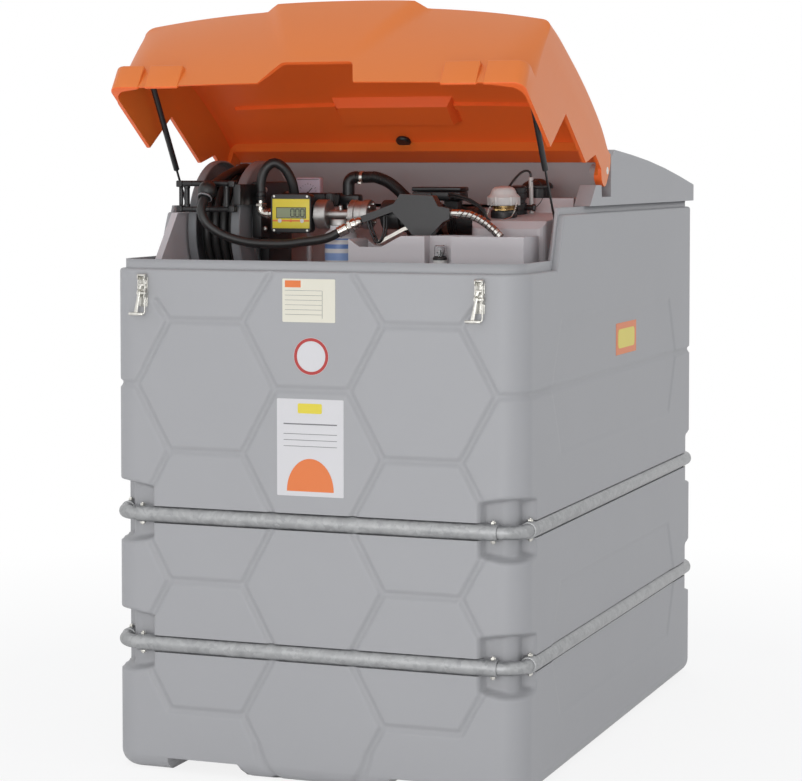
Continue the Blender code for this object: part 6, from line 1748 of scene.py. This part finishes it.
def belts():
    """Galvanised tube frames: mitred tubes, cast elbows, through bolts."""
    bend_x = HALF_W - TUBE_SINK - ELBOW_BEND_R
    bend_y = HALF_D - TUBE_SINK - ELBOW_BEND_R
    line_x = HALF_W - TUBE_SINK
    line_y = HALF_D - TUBE_SINK
    for level, row in zip(("upper", "lower"), BELT_ROWS):
        z = hex_row(row)
        for wall, sign in (("front", -1), ("back", 1)):
            bar = pipe((-bend_x, sign * line_y, z), (bend_x, sign * line_y, z), TUBE_R, 0.0187, 48)
            bar = piece(f"tube_{level}_{wall}", bar, "galvanised")
            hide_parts(f"belt_{level}_{wall}")
        for side, sign in (("right", 1), ("left", -1)):
            parts = [rod((sign * line_x, -bend_y, z), (sign * line_x, bend_y, z), TUBE_R, 48, 0.0012)]
            for end in (-1, 1):
                bend = arc((bend_x, bend_y), ELBOW_BEND_R, 90, 0, 16)
                route = [(bend_x - 0.042, bend_y + ELBOW_BEND_R)] + bend + [(bend_x + ELBOW_BEND_R,
                    bend_y - 0.02)]
                parts.append(tube_shape([(sign * a, end * b, z) for a, b in route], ELBOW_R, 8))
            bar = piece(f"tube_{level}_{side}", merged(*parts), "galvanised")
            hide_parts(f"belt_{level}_{side}")
        bolts = []
        for sx in (1, -1):
            for sy in (1, -1):
                for spot in ((sx * (bend_x - 0.014), sy * line_y), (sx * line_x, sy * (bend_y - 0.018))):
                    for way in (1, -1):
                        bolts.append(nut((*spot, z + way * (TUBE_R - 0.0010)), (0, 0, way), 0.0130,
                            0.0062, 0.0030))
        piece(f"belt_bolts_{level}", merged(*bolts), "zinc")


# Toggle latches
PIVOT_Z = 1.282
PIVOT_PROUD = 0.012
HOOK_HALF = 0.0100
BAR_Z = 1.2260


def latches():
    """Toggle latches: base plate, clawed hook, pull rods and the T bar."""
    for side, x in (("left", LATCH_X[0]), ("right", LATCH_X[1])):
        y = -HALF_D - 0.0003
        base = [block((x - 0.0125, y - 0.0026, 1.2455), (x + 0.0125, y, 1.3250), 0.0012, 2)]
        for ear in (-1, 1):
            low, high = sorted((x + ear * 0.0120, x + ear * 0.0096))
            outline = ((y - 0.001, 1.268), (y - 0.014, 1.272), (y - 0.0180, 1.278), (y - 0.0180, 1.286),
                (y - 0.014, 1.292), (y - 0.001, 1.298))
            base.append(prism(outline, "X", low, high, 0.0006, 1))
            base.append(rod((x + ear * 0.0118, y - PIVOT_PROUD, PIVOT_Z),
                (x + ear * 0.0140, y - PIVOT_PROUD, PIVOT_Z), 0.0042, 20, 0.0008))
        for z in (1.2530, 1.3170):
            base.append(rod((x, y - 0.0044, z), (x, y - 0.002, z), 0.0034, 18, 0.0010))
        for off in (-HOOK_HALF, HOOK_HALF):
            hook_rod = offset((x + off, y, 0), ((0, -0.0150, 1.2930), (0, -0.0140, 1.3030),
                (0, -0.0120, 1.3220)))
            base.append(tube_shape(smooth_route(hook_rod, 0.006), 0.0021, 3))
            base.append(rod((x + off - 0.0018, y - 0.0100, 1.3250),
                (x + off + 0.0018, y - 0.0100, 1.3250), 0.0085, 28, 0.0008))
        base.append(rod((x - HOOK_HALF, y - 0.0125, 1.3290), (x + HOOK_HALF, y - 0.0125, 1.3290), 0.0034,
            20, 0.0006))
        base.append(rod((x - 0.0090, y - 0.0150, 1.3035), (x + 0.0090, y - 0.0150, 1.3035), 0.0038, 20,
            0.0008))
        base.append(prism(((x - 0.0050, 1.3050), (x + 0.0030, 1.3050), (x - 0.0005, 1.2915),
            (x - 0.0085, 1.2915)), "Y", y - 0.0185, y - 0.0150, 0.0008, 2))
        plate = piece(f"latch_plate_{side}", merged(*base), "zinc")
        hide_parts(f"latch_base_{side}")
        top = PIVOT_Z
        lever = [rod((x - 0.0090, y - PIVOT_PROUD, top), (x + 0.0090, y - PIVOT_PROUD, top), 0.0045, 24,
            0.0006)]
        strap = ((x - 0.0085, 1.2865), (x - 0.0005, 1.2865), (x - 0.0045, 1.2680), (x - 0.0105, 1.2300),
            (x - 0.0215, 1.2300), (x - 0.0120, 1.2700))
        lever.append(prism(strap, "Y", y - 0.0180, y - 0.0145, 0.0010, 2))
        lever.append(rod((x - 0.0360, y - 0.0165, BAR_Z), (x + 0.0060, y - 0.0165, BAR_Z), 0.0043, 28,
            0.0012))
        right_rod = offset((x, y, 0), ((0.0045, -0.0165, 1.2262), (0.0085, -0.0160, 1.2285),
            (0.0100, -0.0155, 1.2340), (0.0100, -0.0150, 1.2480), (0.0098, -0.0145, 1.2620),
            (0.0068, -0.0135, 1.2700), (0.0064, -0.0122, 1.2812)))
        lever.append(tube_shape(smooth_route(right_rod, 0.003), 0.0022, 3))
        handle = piece(f"latch_handle_{side}", merged(*lever), "zinc", f"latch_lever_{side}")
        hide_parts(f"latch_lever_{side}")


def plate(name, low, high, y, look, thick=0.0008, radius=0.003):
    """A thin sticker on the front wall."""
    return piece(name, prism(rounded(low, high, radius), "Y", y - thick, y + 0.0004), look)


def labels():
    """Bare stickers where the real one carries its plates."""
    y = -HALF_D - 0.0002
    plate("spec_plate", (-0.0809, 1.2135), (0.0675, 1.3265), y, "cream_print")
    plate("spec_plate_tab", (-0.0735, 1.3040), (-0.0290, 1.3220), y - 0.0007, "orange_print", 0.0004,
        0.001)
    lines = []
    for i in range(6):
        z = 1.2960 - i * 0.0125
        lines.append(block((-0.0735, y - 0.0012, z - 0.0004), (0.0300, y - 0.0006, z + 0.0004)))
    lines.append(block((0.0310, y - 0.0012, 1.2240), (0.0318, y - 0.0006, 1.2960)))
    piece("spec_plate_rules", merged(*lines), "grey_print")
    centre = (0.0000, 1.1250)
    piece("round_sticker", rod((centre[0], y + 0.0003, centre[1]), (centre[0], y - 0.0008, centre[1]),
        0.0490, 64), "white_print")
    ring = turned(((0.0400, 0), (0.0480, 0), (0.0480, 0.0005), (0.0400, 0.0005)),
        (centre[0], y - 0.0008, centre[1]), (0, -1, 0), 72, ring=True)
    piece("round_sticker_rim", ring, "red_print")
    plate("tall_sticker", (-0.0969, 0.7595), (0.0905, 1.0136), y, "white_print")
    half = [(-0.0030 + 0.0660 * math.cos(a),
        0.7720 + 0.0860 * math.sin(a)) for a in (i * math.pi / 24 for i in range(25))]
    piece("tall_sticker_sun", prism(half, "Y", y - 0.0013, y - 0.0006), "orange_print")
    plate("tall_sticker_tab", (-0.0380, 0.9760), (0.0300, 1.0020), y - 0.0007, "yellow_face", 0.0004,
        0.004)
    rules = [block((-0.0780, y - 0.0012, z - half_z), (0.0720, y - 0.0006, z + half_z)) for z,
        half_z in ((0.9480, 0.0016), (0.9220, 0.0007), (0.9060, 0.0007), (0.8900, 0.0007))]
    piece("tall_sticker_rules", merged(*rules), "grey_print")
    x = HALF_W - 0.0032
    corners = [(-0.0286, 1.0790), (0.1905, 1.0790), (0.1905, 1.1700), (-0.0286, 1.1700)]
    piece("side_sticker", prism(corners, "X", x, x + 0.0010, 0.0003, 1), "orange_print")
    inner = rounded((-0.0080, 1.0970), (0.1700, 1.1520), 0.014)
    piece("side_sticker_field", prism(inner, "X", x + 0.0008, x + 0.0014), "yellow_face")


def small_fittings():
    """Hinge pin heads, the knob under the lid and the raised parts of its inside."""
    caps = []
    for sign in (1, -1):
        caps.append(rod((sign * (HALF_W - 0.0020), HINGE_Y, HINGE_Z), (sign * (HALF_W + 0.0008), HINGE_Y,
            HINGE_Z), 0.0105, 28, 0.0010))
    piece("hinge_pin_heads", merged(*caps), "zinc")
    x, y = -0.026, -0.190
    seat = min(ceiling(x, y - 0.022), ceiling(x, y + 0.022), ceiling(x, y))
    knob = opened(lathe(((0.0, 0.000), (0.021, 0.000), (0.022, 0.006), (0.018, 0.010), (0.0, 0.011)),
        (x, y, seat), (0, 0, -1), 32))
    piece("lid_knob", knob, "black_plastic", "lid")
    # The raised parts under the lid take the same underside orange with its painted light.
    piece("lid_inner_box", under_lid(-0.190, 0.172, -0.378, -0.268, 0.026, 0.016), "lid_underside_painted_light", "lid")
    piece("lid_band_left", under_lid(-0.500, -0.184, -0.352, -0.326, 0.010, 0.004), "lid_underside_painted_light", "lid")
    piece("lid_band_right", under_lid(0.166, 0.400, -0.352, -0.326, 0.010, 0.004), "lid_underside_painted_light", "lid")


def under_lid(x0, x1, y0, y1, drop, slant):
    """A raised part of the lid's inside, its sides slanted, lying along the inner surface."""
    sections = []
    count = 14
    places = [x0] + [lerp(x0 + slant, x1 - slant, i / count) for i in range(count + 1)] + [x1]
    for x in places:
        down = 0.0005 if x in (x0, x1) else drop
        edge = slant * down / drop
        front, back = ceiling(x, y0), ceiling(x, y1)
        sections.append((x, [(y0 + edge, front - down), (y1 - edge, back - down), (y1, back + 0.002),
            (y0, front + 0.002)]))
    return opened(loft(sections))


def ceiling(x, y):
    """Height of the closed lid's inner surface over a place on the plan."""
    outline = lid_hollow(x)[2:]
    y = min(y, max(a for a, b in outline) - 0.0001)
    found = []
    for (y0, z0), (y1, z1) in zip(outline, outline[1:]):
        if min(y0, y1) <= y <= max(y0, y1) and y0 != y1:
            found.append(lerp(z0, z1, (y - y0) / (y1 - y0)))
    return max(found)


NODE_LOOKS = {"tank": ("inner_tank", "bay_deck", "nozzle_tray"), "cover": ("rear_cover",),
    "zinc": ("hinge_pin_left", "hinge_pin_right", "strut_pin_left", "strut_pin_right"),
    "black_steel": ("strut_cylinder_left", "strut_cylinder_right", "strut_rod_left", "strut_rod_right"),}

SOFTENED = ("nozzle_tray", "bay_deck", "rear_cover")


def dress_nodes():
    for look, names in NODE_LOOKS.items():
        for name in names:
            obj = dressed(name, look)
            if name in SOFTENED:
                soften(obj, 0.006, 35)


make_camera()
make_studio()
make_materials()
dispensing_hose()
dress_nodes()
shell()
lid()
reel()
hose_guide()
meter()
flow_line()
pump()
gauge()
fill_point()
belts()
latches()
labels()
small_fittings()

bpy.context.scene.view_settings.view_transform = "Standard"
